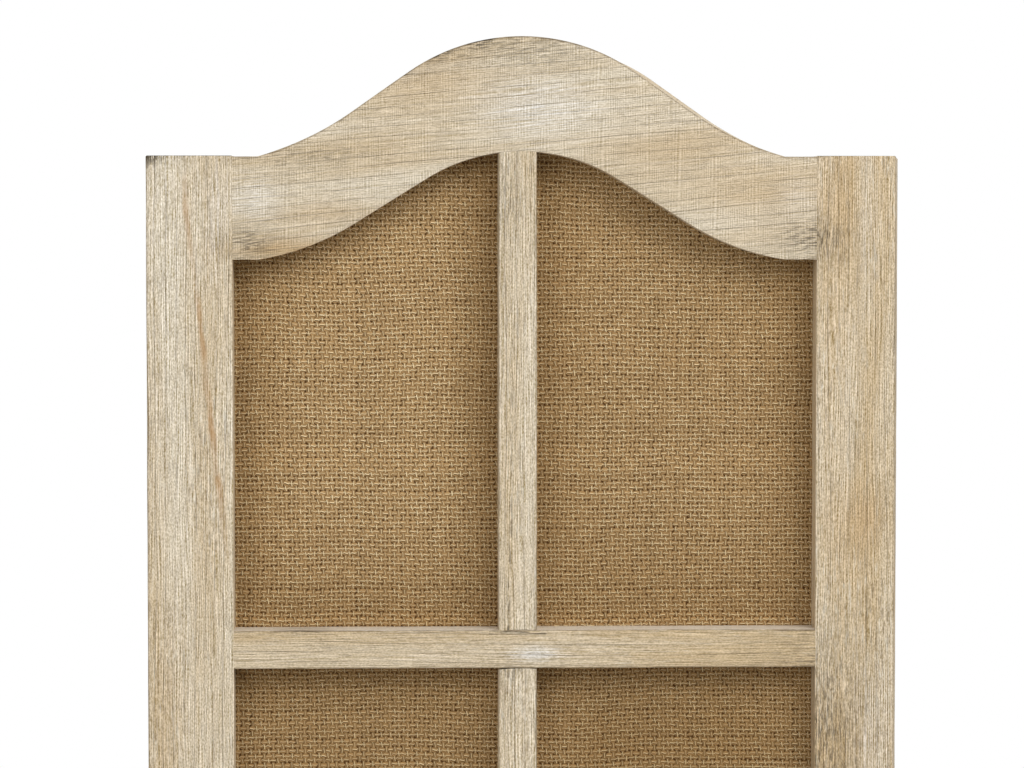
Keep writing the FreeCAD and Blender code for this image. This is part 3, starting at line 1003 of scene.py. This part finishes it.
def makeCrest(panel, marks, seed):
    look = boardLook | crestLook | frameFinish
    faceSteps = steps(0, crestShoulder - crestBottom, look["faceStep"])

    def cut(at, middle, shift):
        low, high = crestUnderAt(at), crestTopAt(at)
        radii = [edgeRadius(look, at, shift + number * 5) for number in (1, 2)]
        return roundedLoop([
            (low, 0, look["joinedEase"], faceSteps),
            (high, 0, radii[0], 5),
            (high, frameDepth, radii[1], faceSteps - 2),
            (low + rebateWidth, frameDepth, 0, 1),
            (low + rebateWidth, clothY[0], 0, 2),
            (low, clothY[0], 0, 5),
        ])

    places = placesAlong(openLeft, openRight, look["step"], crestKinks)
    return makeBoard("crest_rail", panel, places, cut, level, marks, seed, **look)


# Bottom rail
bottomLook = {"tone": 0.02, "sawn": 0.5, "endEase": 0.0}


def makeBottomRail(panel, marks, seed):
    look = boardLook | bottomLook | frameFinish
    faceSteps = steps(legHeight, openBottom, look["faceStep"])
    rebated = openBottom - rebateWidth

    def cut(at, middle, shift):
        radii = [edgeRadius(look, at, shift + number * 5) for number in range(3)]
        return roundedLoop([
            (legHeight, 0, radii[0], faceSteps),
            (openBottom, 0, radii[1], 5),
            (openBottom, clothY[0], 0, 2),
            (rebated, clothY[0], 0, 1),
            (rebated, frameDepth, 0, faceSteps - 2),
            (legHeight, frameDepth, radii[2], 5),
        ])

    places = placesAlong(openLeft, openRight, look["step"])
    return makeBoard("bottom_rail", panel, places, cut, level, marks, seed, **look)


# Bars, halved where they cross
barLook = {
    "wear": 0.0008,
    "ripple": 0.00006,
    "faceStep": 0.003,
    "endEase": 0.0,
    "backEase": 0.0002,
    "edgeWidth": 0.0006,
}
mullionLook = {"tone": 0.02, "footShade": -0.14}
crossbarLook = {"tone": -0.34, "sawn": -0.6, "topLight": 0.9, "step": 0.0045}
lapDepth = barDepth / 2
lapFit = 0.00015


def makeBar(name, panel, span, ends, notches, halved, lie, marks, seed, **changes):
    # halved gives the front and the back of the bar, in a notch or beside it
    look = boardLook | barLook | frameFinish | changes
    faceSteps = steps(*span, look["faceStep"])

    def cut(at, middle, shift):
        front, back = halved(any(low < middle < high for low, high in notches))
        radii = [edgeRadius(look, at, shift + number * 5) for number in range(2)]
        if front > 0:
            radii = [look["joinedEase"]] * 2
        return roundedLoop([
            (span[0], front, radii[0], faceSteps),
            (span[1], front, radii[1], 4),
            (span[1], back, look["backEase"], faceSteps),
            (span[0], back, look["backEase"], 4),
        ])

    places = placesAlong(*ends, look["step"], [end for notch in notches for end in notch])
    return makeBoard(name, panel, places, cut, lie, marks, seed, **look)


def makeMullion(panel, marks, seed, **changes):
    notches = [(low - lapFit, high + lapFit) for low, high in crossbarZ]
    ends = (openBottom, crestUnderAt(0))

    def halved(notched):
        return (lapDepth if notched else 0.0), barDepth

    look = mullionLook | {"topAt": crestUnderAt} | changes
    return makeBar("mullion", panel, mullionX, ends, notches, halved, upright, marks, seed, **look)


def makeCrossbar(number, panel, marks, seed, **changes):
    name = f"crossbar_{number}"
    span = crossbarZ[number - 1]
    ends = (openLeft, openRight)
    notches = [(mullionX[0] - lapFit, mullionX[1] + lapFit)]

    def halved(notched):
        return 0.0, (lapDepth if notched else barDepth)

    look = crossbarLook | changes
    return makeBar(name, panel, span, ends, notches, halved, level, marks, seed, **look)


# Beads that hold the cloth from behind
beadLook = {"step": 0.012, "crestStep": 0.005, "endEase": 0.0002, "frontEase": 0.0002, "backEase": 0.0005}


def makeBeads(panel, seed):
    look = boardLook | beadFinish | beadLook
    outerX = (openLeft - beadWidth, openRight + beadWidth)
    foot = openBottom - beadWidth
    front, back = clothY[1], frameDepth

    def flat(low, high):
        def cut(at, middle, shift):
            return roundedLoop([
                (low, front, look["frontEase"], 3),
                (high, front, look["frontEase"], 1),
                (high, back, look["backEase"], 3),
                (low, back, look["backEase"], 1),
            ], cornerSteps=2)
        return cut

    def arched(at, middle, shift):
        low = crestUnderAt(at)
        return flat(low, low + beadWidth)(at, middle, shift)

    uprights = placesAlong(foot, crestBottom, look["step"])
    levels = placesAlong(openLeft, openRight, look["step"])
    arches = placesAlong(*outerX, look["crestStep"], crestKinks)
    pieces = [
        ("left_bead", uprights, flat(outerX[0], openLeft), upright),
        ("right_bead", uprights, flat(openRight, outerX[1]), upright),
        ("bottom_bead", levels, flat(foot, openBottom), level),
        ("crest_bead", arches, arched, level),
    ]
    for number, (name, places, cut, lie) in enumerate(pieces):
        makeBoard(name, panel, places, cut, lie, noMarks, seed + number, **look)


# Burlap: one sheet, a little slack in each pane
burlapLook = {
    "step": 0.005,
    "inset": 0.0001,  # of each face, so that the cloth clears what it lies against
    "slack": 0.0011,  # how far the cloth leaves its plane between the bars
    "slackBias": 0.25,
    "slackRise": 0.035,  # from a bar to where the cloth hangs free
    "waveSize": (15, 11),
    "quiver": 0.00008,
    "quiverSize": 90,
    "backShift": 0.3,  # of the weave at the back
    "shadeTop": 0.06,  # above the first crossbar, where the painted shade on the cloth starts
    "shadeFade": 0.09,
    "paintedShade": 1.15,
    "rightShade": 0.45,
}


def paneShare(x, z, top):
    # 0 on the frame and the bars, 1 in the middle of a pane
    def ridge(place, low, high):
        if not low < place < high:
            return 0.0
        near = min(place - low, high - place)
        return min(1.0, near / burlapLook["slackRise"])

    columns = ((openLeft, mullionX[0]), (mullionX[1], openRight))
    rows = [openBottom] + [end for bar in reversed(crossbarZ) for end in bar] + [top]
    across = max(ridge(x, *column) for column in columns)
    upward = max(ridge(z, low, high) for low, high in zip(rows[::2], rows[1::2]))
    share = across * upward
    return share * share * (3 - 2 * share)


def paintedShadeAt(x, z):
    # painted shade: the lower panes and the right-hand ones are made darker
    look = burlapLook
    depth = (crossbarZ[0][1] + look["shadeTop"] - z) / look["shadeFade"]
    paintedShade = look["paintedShade"] * min(1.0, max(0.0, depth))
    return paintedShade + look["rightShade"] if x > mullionX[1] else paintedShade


def makeCloth(panel, seed):
    look = burlapLook
    rng = random.Random(seed)
    shift = rng.uniform(0, 40)
    low, high = openLeft - beadWidth, openRight + beadWidth
    foot = openBottom - beadWidth
    columns = steps(low, high, look["step"])
    rows = steps(foot, crestBottom + beadWidth, look["step"])
    thickness = clothY[1] - clothY[0] - 2 * look["inset"]
    bm = bmesh.new()
    clothLayer = bm.verts.layers.float_vector.new("cloth")
    front, back = [], []
    for face, sheet in enumerate((front, back)):
        for column in range(columns + 1):
            x = low + (high - low) * column / columns
            top = crestUnderAt(x) + beadWidth
            line = []
            for row in range(rows + 1):
                z = foot + (top - foot) * row / rows
                wave = ripple((x * look["waveSize"][0], z * look["waveSize"][1], 0), 1, shift)
                sag = look["slack"] * paneShare(x, z, top - beadWidth) * (wave + look["slackBias"])
                sag += look["quiver"] * ripple((x, z, 1), look["quiverSize"], shift)
                vert = bm.verts.new((x, clothY[0] + look["inset"] + sag + face * thickness, z))
                # painted shade on the front face: full beside the bars and the sides and foot of the frame,
                # and spread over the lower and right-hand panes
                shadeShare = 0.0 if face else 1 - paneShare(x, z, panelTop) * (1 - paintedShadeAt(x, z))
                vert[clothLayer] = (x + shift, z + look["backShift"] * face, shadeShare)
                line.append(vert)
            sheet.append(line)
    for column in range(columns):
        for row in range(rows):
            corners = [(column, row), (column + 1, row), (column + 1, row + 1), (column, row + 1)]
            bm.faces.new([front[a][b] for a, b in corners])
            bm.faces.new([back[a][b] for a, b in corners[:1] + corners[:0:-1]])
    rim = [(column, 0) for column in range(columns)] + [(columns, row) for row in range(rows)]
    rim += [(column, rows) for column in range(columns, 0, -1)] + [(0, row) for row in range(rows, 0, -1)]
    for (a, b), (c, d) in zip(rim, rim[1:] + rim[:1]):
        bm.faces.new((front[a][b], back[a][b], back[c][d], front[c][d]))
    area = 0.0
    for column in range(columns):
        x = low + (high - low) * (column + 0.5) / columns
        area += (crestUnderAt(x) + beadWidth - foot) * (high - low) / columns
    piece = finishPiece(bm, f"{panel}_burlap", panel, burlapCloth, "burlap", 80)
    flatSize = (high - low, crestUnderAt(0) + beadWidth - foot)
    return piece


# Turned parts: a profile of (height, radius) about an axis that turn sets in its place
def turned(bm, profile, segments, turn, openStart=False):
    angles = [2 * math.pi * number / segments for number in range(segments)]
    rings = []
    for height, radius in profile:
        spots = [Vector((radius * math.cos(a), radius * math.sin(a), height)) for a in angles]
        if radius == 0:
            spots = [Vector((0, 0, height))]
        rings.append([bm.verts.new(turn @ spot) for spot in spots])
    for low, high in zip(rings, rings[1:]):
        for number in range(segments):
            after = (number + 1) % segments
            ways = ((low, number), (low, after), (high, after), (high, number))
            corners = [ring[place % len(ring)] for ring, place in ways]
            bm.faces.new(list(dict.fromkeys(corners)))
    ends = rings[-1:] if openStart else [rings[0], rings[-1]]
    for ring in ends:
        if len(ring) > 1:
            bm.faces.new(ring)
    return rings[0]


# Brads through the beads, with small oblong heads set flush
bradLook = {"width": 0.0012, "height": 0.0010, "length": 0.014, "proud": 0.00012, "ease": 0.00015}
bradSpots = {"sideRise": 0.090, "crestReach": 0.030}


def bradPlaces():
    middle = rebateWidth / 2
    feet = [openBottom] + [high for low, high in reversed(crossbarZ)]
    for foot in feet[::2]:
        yield openLeft - middle, foot + bradSpots["sideRise"]
        yield openRight + middle, foot + bradSpots["sideRise"]
    for paneSide, barSide in zip((openLeft, openRight), mullionX):
        yield (paneSide + barSide) / 2, openBottom - middle
    for side in (-1, 1):
        yield side * bradSpots["crestReach"], crestUnderAt(bradSpots["crestReach"]) + middle
        yield side * (crestRun + crestShape["shoulderFlat"] / 2), crestBottom + middle


def makeBrads(panel):
    look = bradLook
    back = frameDepth + look["proud"]
    foot = frameDepth - look["length"]
    size = Vector((look["width"], back - foot, look["height"]))
    bm = bmesh.new()
    for x, z in bradPlaces():
        centre = Vector((x, (back + foot) / 2, z))
        made = bmesh.ops.create_cube(bm, size=1, matrix=Matrix.Translation(centre))
        for vert in made["verts"]:
            vert.co = centre + (vert.co - centre) * size
        edges = {edge for vert in made["verts"] for edge in vert.link_edges}
        bmesh.ops.bevel(bm, geom=list(edges), offset=look["ease"], segments=2, affect="EDGES")
    finishPiece(bm, f"{panel}_bead_brads", panel, bradSteel, "brad_steel")


# Butt hinges: leaves with rolled knuckles, headed pins and countersunk screws
hingeLook = {
    "heights": (0.250, 0.7602, 1.2704),
    "height": 0.050,
    "leafWidth": 0.015,
    "leafThickness": 0.0015,
    "leafEase": 0.0003,
    "leafStart": 0.0004,  # where the leaf leaves the knuckle, from the panel's face
    "rimWidth": 0.001,
    "rimWear": 0.6,
    "leafWear": 0.1,
    "knuckles": 3,
    "knuckleGap": 0.0002,
    "knuckleRadius": 0.0030,
    "arcSteps": 22,
    "roundSteps": 24,
    "pinRadius": 0.00134,
    "pinEase": 0.0003,
    "headRadius": 0.0024,
    "headHeight": 0.0012,
    "headShape": ((0, 1), (0.35, 1), (0.75, 0.86), (1, 0.5), (1.04, 0)),  # shares of height and radius
}
screwLook = {
    "spacing": 0.028,
    "stagger": 0.004,
    "firstSpin": 0.5,
    "spin": 17,  # so that each recess lies at its own angle
    "head": 0.0029,
    "rim": (0.00015, 0.0002),
    "sink": 0.0016,
    "shank": 0.0014,
    "point": 0.012,
    "length": 0.016,
    "recess": {"reach": 0.0017, "half": 0.0004, "depth": 0.0010},
    "recessFloor": 0.6,
}


class HingedEdge:
    # an outer edge of a panel, with knuckles at its front or back
    def __init__(self, edge, face):
        self.edge = edge
        self.inward = -face
        self.faceY = frameDepth if face > 0 else 0.0
        self.axis = Vector((edge * (panelWidth + hingeSeam) / 2, self.faceY + face * hingeStand, 0))

    def spot(self, out, deep, z):
        # out from the panel's edge, deep into the panel from its face
        return Vector((self.edge * (panelWidth / 2 + out), self.faceY + self.inward * deep, z))


def leafLoop(rolled):
    look = hingeLook
    thick, wide, radius = look["leafThickness"], look["leafWidth"], look["knuckleRadius"]
    ease, leafStart = look["leafEase"], look["leafStart"]
    centre = Vector((hingeSeam / 2, -hingeStand))
    startAngle = math.atan2(math.sqrt(radius ** 2 - centre.x ** 2), -centre.x)
    endAngle = math.acos((thick - centre.x) / radius)
    arc = []
    for step in range(look["arcSteps"] + 1):
        share = step / look["arcSteps"]
        if rolled:
            angle = startAngle + (2 * math.pi + endAngle - startAngle) * share
            arc.append(centre + radius * Vector((math.cos(angle), math.sin(angle))))
        else:
            arc.append(Vector((thick * share, 0)))
    tail = [(thick, leafStart), (thick, wide - ease), (thick - ease, wide), (ease, wide), (0, wide - ease)]
    return [Vector((0, leafStart)), *arc, *[Vector(point) for point in tail]]


def makeLeaves(name, hinged, panel, firstKnuckle):
    look = hingeLook
    bm = bmesh.new()
    finishLayer = bm.verts.layers.float_vector.new("finish")
    pitch = look["height"] / look["knuckles"]
    gap = look["knuckleGap"] / 2
    for height in look["heights"]:
        foot = height - look["height"] / 2
        top = foot + look["height"]
        stops = [(foot, False)]
        for number in range(firstKnuckle, look["knuckles"], 2):
            low, high = foot + number * pitch + gap, foot + (number + 1) * pitch - gap
            stops += [(low, False), (low, True), (high, True), (high, False)]
        stops.append((top, False))
        rings = []
        for z, rolled in stops:
            ring = []
            for out, deep in leafLoop(rolled):
                vert = bm.verts.new(hinged.spot(out, deep, z))
                onRim = z in (foot, top) or deep > look["leafWidth"] - look["rimWidth"]
                vert[finishLayer] = (look["rimWear"] if onRim else look["leafWear"], 0, 0)
                ring.append(vert)
            rings.append(ring)
        skinRings(bm, rings)
    finishPiece(bm, name, panel, hingeSteel, "hinge_steel", 30)


def makePins(name, hinged, panel):
    look = hingeLook
    bm = bmesh.new()
    radius, ease = look["pinRadius"], look["pinEase"]
    for height in look["heights"]:
        foot = height - look["height"] / 2
        seat = height + look["height"] / 2 - look["knuckleGap"] / 2
        profile = [(foot, radius - ease), (foot + ease, radius), (seat, radius)]
        for up, out in look["headShape"]:
            profile.append((seat + look["headHeight"] * up, look["headRadius"] * out))
        turned(bm, profile, look["roundSteps"], Matrix.Translation((hinged.axis.x, hinged.axis.y, 0)))
    finishPiece(bm, name, panel, hingeSteel, "hinge_steel", 40)


def crossRecess(bm, faceRing, turn, reach, half, depth):
    # cuts a cross for the driver into the flat face inside a ring
    outline = [(half, half), (half, reach), (-half, reach), (-half, half), (-reach, half), (-reach, -half),
               (-half, -half), (-half, -reach), (half, -reach), (half, -half), (reach, -half), (reach, half)]
    narrow = screwLook["recessFloor"]
    rim = [bm.verts.new(turn @ Vector((x, y, 0))) for x, y in outline]
    floor = [bm.verts.new(turn @ Vector((x * narrow, y * narrow, depth))) for x, y in outline]
    edges = []
    for loop in (faceRing, rim):
        for number, vert in enumerate(loop):
            after = loop[(number + 1) % len(loop)]
            edges.append(bm.edges.get((vert, after)) or bm.edges.new((vert, after)))
    bmesh.ops.triangle_fill(bm, edges=edges, use_beauty=True)
    for number in range(len(rim)):
        after = (number + 1) % len(rim)
        bm.faces.new((rim[number], rim[after], floor[after], floor[number]))
    bm.faces.new(floor)


def makeScrews(panel, hingedEdges):
    look = screwLook
    bm = bmesh.new()
    head, shank = look["head"], look["shank"]
    rimDepth, rimWidth = look["rim"]
    profile = [
        (0.0, head - rimWidth), (rimDepth, head), (look["sink"], shank), (look["point"], shank),
        (look["length"], 0),
    ]
    for hinged in hingedEdges:
        drive = Matrix.Rotation(math.radians(-90 * hinged.edge), 4, "Y")
        for height in hingeLook["heights"]:
            for way in (-1, 1):
                deep = (hingeLook["leafWidth"] + way * look["stagger"]) / 2
                at = hinged.spot(hingeLook["leafThickness"], deep, height + way * look["spacing"] / 2)
                spin = Matrix.Rotation(look["firstSpin"] + look["spin"] * height + way, 4, "Z")
                turn = Matrix.Translation(at) @ drive @ spin
                faceRing = turned(bm, profile, hingeLook["roundSteps"], turn, openStart=True)
                crossRecess(bm, faceRing, turn, **look["recess"])
    finishPiece(bm, f"{panel}_hinge_screws", panel, screwSteel, "screw_steel", 35)


# Marks that show on the front panel, from the photograph:
# (across, up) in metres from its middle and the floor, (half width, half height), strength
frontMarks = {
    "white": [
        ((-0.124, 1.574), (0.015, 0.014), 0.55),
        ((0.006, 1.617), (0.040, 0.020), 0.6),
        ((0.128, 1.576), (0.012, 0.012), 0.4),
        ((-0.144, 1.560), (0.006, 0.040), 0.45),
        ((0.162, 1.560), (0.008, 0.060), 0.35),
        ((0.006, 1.361), (0.013, 0.004), 1.0),
    ],
    "tan": [
        ((-0.070, 1.600), (0.040, 0.018), 0.15),
        ((0.070, 1.598), (0.040, 0.018), 0.3),
        ((0.118, 1.572), (0.030, 0.018), 0.35),
        ((-0.092, 1.568), (0.022, 0.008), 0.35),
        ((-0.044, 1.634), (0.026, 0.014), 0.4),
        ((-0.112, 1.551), (0.024, 0.005), 0.9),
        ((0.148, 1.560), (0.009, 0.080), 0.35),
        ((0.162, 1.424), (0.006, 0.012), 0.7),
        ((0.152, 1.420), (0.012, 0.030), 0.4),
    ],
    "smudge": [
        ((-0.128, 1.554), (0.012, 0.007), 0.75),
        ((-0.006, 1.574), (0.006, 0.018), 0.5),
        ((0.137, 1.556), (0.016, 0.008), 0.95),
        ((-0.172, 1.593), (0.005, 0.004), 1.1),
        ((-0.160, 1.595), (0.012, 0.0015), 0.6),
        ((-0.100, 1.594), (0.024, 0.003), 0.5),
        ((-0.104, 1.373), (0.014, 0.0018), 0.8),
        ((-0.058, 1.634), (0.012, 0.003), 0.7),
        ((-0.042, 1.642), (0.012, 0.0025), 1.2),
        ((-0.024, 1.648), (0.014, 0.002), 0.9),
        ((0.004, 1.645), (0.034, 0.010), 0.45),
        ((-0.004, 1.353), (0.010, 0.002), 0.5),
        ((-0.006, 1.345), (0.003, 0.014), 0.5),
    ],
}

# Brush marks and stains over the rest of a panel
scatterLook = {
    "counts": {"white": 46, "tan": 30, "smudge": 22},
    "strengths": {"white": 0.7, "tan": 0.5, "smudge": 0.8},
    "spread": (0.4, 1.2),  # weakest and strongest, in shares of that
    "wide": (0.008, 0.03),
    "high": (0.008, 0.05),
    "frontTop": 1.34,  # the front panel's own marks are above this
}


def scatteredMarks(seed, own=noMarks, top=panelTop):
    look = scatterLook
    rng = random.Random(seed)
    marks = {}
    for kind in markKinds:
        marks[kind] = list(own[kind])
        for _ in range(look["counts"][kind]):
            at = (rng.uniform(-panelWidth / 2, panelWidth / 2), rng.uniform(0, panelTop))
            size = (rng.uniform(*look["wide"]), rng.uniform(*look["high"]))
            strength = look["strengths"][kind] * rng.uniform(*look["spread"])
            if at[1] < top:
                marks[kind].append((at, size, strength))
    return marks


# Streaks of the front panel, as (along, across, strength)
frontTanLine = [
    (1.395, -0.1362, 0.0), (1.424, -0.1400, 0.2), (1.447, -0.1424, 0.7), (1.460, -0.1440, 0.8),
    (1.486, -0.1470, 0.7), (1.522, -0.1503, 0.6), (1.532, -0.1520, 0.15), (1.552, -0.1545, 0.25),
    (1.568, -0.1562, 0.5), (1.580, -0.1567, 0.4), (1.586, -0.1568, 0.0), (1.594, -0.1568, 0.0),
]
frontDarkLine = [(1.372, -0.0066, 0.7), (1.392, -0.0058, 0.7), (1.440, -0.0050, 0.4), (1.520, -0.0044, 0.1)]
frontCrack = [(-0.016, 1.3708, 0.5), (-0.006, 1.3713, 0.8), (0.006, 1.3711, 0.8), (0.019, 1.3704, 0.4)]
frontChanges = {
    "left_stile": {"tanLine": frontTanLine},
    "mullion": {"darkLine": frontDarkLine},
    "crossbar_1": {"darkLine": frontCrack},
}


def makePanel(panel, seed, marks, hingedEdges, changes):
    makeStile(panel, "left", marks, seed + 1, **changes.get("left_stile", {}))
    makeStile(panel, "right", marks, seed + 2)
    makeCrest(panel, marks, seed + 3)
    makeBottomRail(panel, marks, seed + 4)
    makeMullion(panel, marks, seed + 5, **changes.get("mullion", {}))
    for number in range(1, crossbarCount + 1):
        makeCrossbar(number, panel, marks, seed + 10 + number, **changes.get(f"crossbar_{number}", {}))
    makeBeads(panel, seed + 20)
    makeCloth(panel, seed + 30)
    makeBrads(panel)
    makeScrews(panel, hingedEdges)
    print("panel made:", panel)


firstEdges = (HingedEdge(1, 1), HingedEdge(-1, 1))
secondEdges = (HingedEdge(1, -1), HingedEdge(-1, -1))
allFrontMarks = scatteredMarks(11, frontMarks, scatterLook["frontTop"])
makePanel("front_panel", 100, allFrontMarks, [firstEdges[0]], frontChanges)
makePanel("middle_panel", 200, scatteredMarks(12), [firstEdges[1], secondEdges[0]], {})
makePanel("rear_panel", 300, scatteredMarks(13), [secondEdges[1]], {})

for hinge, edges, fixedPanel, swingPanel in (
    ("first_hinge", firstEdges, "front_panel", "middle_panel"),
    ("second_hinge", secondEdges, "middle_panel", "rear_panel"),
):
    makeLeaves(f"{hinge}_fixed_leaves", edges[0], fixedPanel, 0)
    makeLeaves(f"{hinge}_swing_leaves", edges[1], swingPanel, 1)
    makePins(f"{hinge}_pins", edges[0], fixedPanel)
print("hinges made")


# Floor, light and camera
stageLook = {
    "floorSize": 7.0,
    "floorDrop": 0.0005,  # below the feet
    "floorFade": (1.5, 3.2),
    "floorRoughness": 0.85,
    "skyStrength": 0.66,
    "underStrength": 0.12,
    "skyRise": (-0.35, 0.55),  # from the light below to the light above
}
floorColours = (linear(226, 225, 222), linear(233, 232, 229))


def makeFloor():
    half = stageLook["floorSize"] / 2
    mesh = bpy.data.meshes.new("floor")
    corners = [(-half, -half, 0), (half, -half, 0), (half, half, 0), (-half, half, 0)]
    mesh.from_pydata(corners, [], [(0, 1, 2, 3)])
    floor = bpy.data.objects.new("floor", mesh)
    floor.location.z = -stageLook["floorDrop"]
    bpy.context.scene.collection.objects.link(floor)
    material, b, shader = newMaterial("paleFloor")
    place = b.add("ShaderNodeTexCoord").outputs["Object"]
    cloud = b.noise(place, (3, 3, 3), detail=3)
    b.feed(shader["Base Color"], b.mix(b.ramp(cloud, 0.2, 0.8), *floorColours))
    shader["Roughness"].default_value = stageLook["floorRoughness"]
    away = b.add("ShaderNodeVectorMath", operation="LENGTH")  # the floor fades into the white around it
    b.feed(away.inputs[0], place)
    near, far = stageLook["floorFade"]
    b.feed(shader["Alpha"], b.ramp(away.outputs["Value"], far, near))
    mesh.materials.append(material)


def makeSky():
    world = bpy.data.worlds.new("studio")
    bpy.context.scene.world = world
    world.use_nodes = True
    b = Bench(world.node_tree)
    background = world.node_tree.nodes["Background"]
    path = b.add("ShaderNodeLightPath").outputs
    seen = b.math("MAXIMUM", path["Is Camera Ray"], path["Is Glossy Ray"])
    seen = b.math("MAXIMUM", seen, path["Is Transmission Ray"])
    background.inputs["Color"].default_value = (1, 1, 1, 1)
    rise = b.split(b.add("ShaderNodeTexCoord").outputs["Generated"])[2]
    strengths = (stageLook["underStrength"], stageLook["skyStrength"])
    glow = b.ramp(rise, *stageLook["skyRise"], *strengths)
    b.feed(background.inputs["Strength"], b.ramp(seen, 0, 1, glow, 1.0, smooth=False))


lamps = {
    "key": {"at": (1.1, -1.75, 2.9), "aim": (0, -0.18, 1.4), "size": 1.6, "power": 36},
    "fill": {"at": (-1.6, -2.6, 2.2), "aim": (0, -0.18, 0.8), "size": 2.0, "power": 25},
    "rear": {"at": (-0.5, 2.6, 2.6), "aim": (0, 0, 0.9), "size": 2.0, "power": 30},
}


def makeLamps():
    for name, look in lamps.items():
        data = bpy.data.lights.new(name, "AREA")
        data.size = look["size"]
        data.energy = look["power"]
        lamp = bpy.data.objects.new(name, data)
        lamp.location = look["at"]
        lamp.rotation_euler = (Vector(look["aim"]) - Vector(look["at"])).to_track_quat("-Z", "Y").to_euler()
        bpy.context.scene.collection.objects.link(lamp)


# The photograph looks at the top of the front panel from a little above it
cameraLook = {
    "across": -0.0502,
    "away": 1.6,
    "height": 1.56,
    "turn": 1.63,
    "dip": 2.58,
    "lens": 120.5,
    "sensor": 36,
}


def makeCamera():
    data = bpy.data.cameras.new("camera")
    data.lens = cameraLook["lens"]
    data.sensor_width = cameraLook["sensor"]
    camera = bpy.data.objects.new("camera", data)
    camera.location = (middleX + cameraLook["across"], frontY - cameraLook["away"], cameraLook["height"])
    camera.rotation_euler = (math.radians(90 - cameraLook["dip"]), 0, -math.radians(cameraLook["turn"]))
    bpy.context.scene.collection.objects.link(camera)
    bpy.context.scene.camera = camera


makeFloor()
makeSky()
makeLamps()
makeCamera()
bpy.context.scene.view_settings.view_transform = "Standard"
print("stage made")
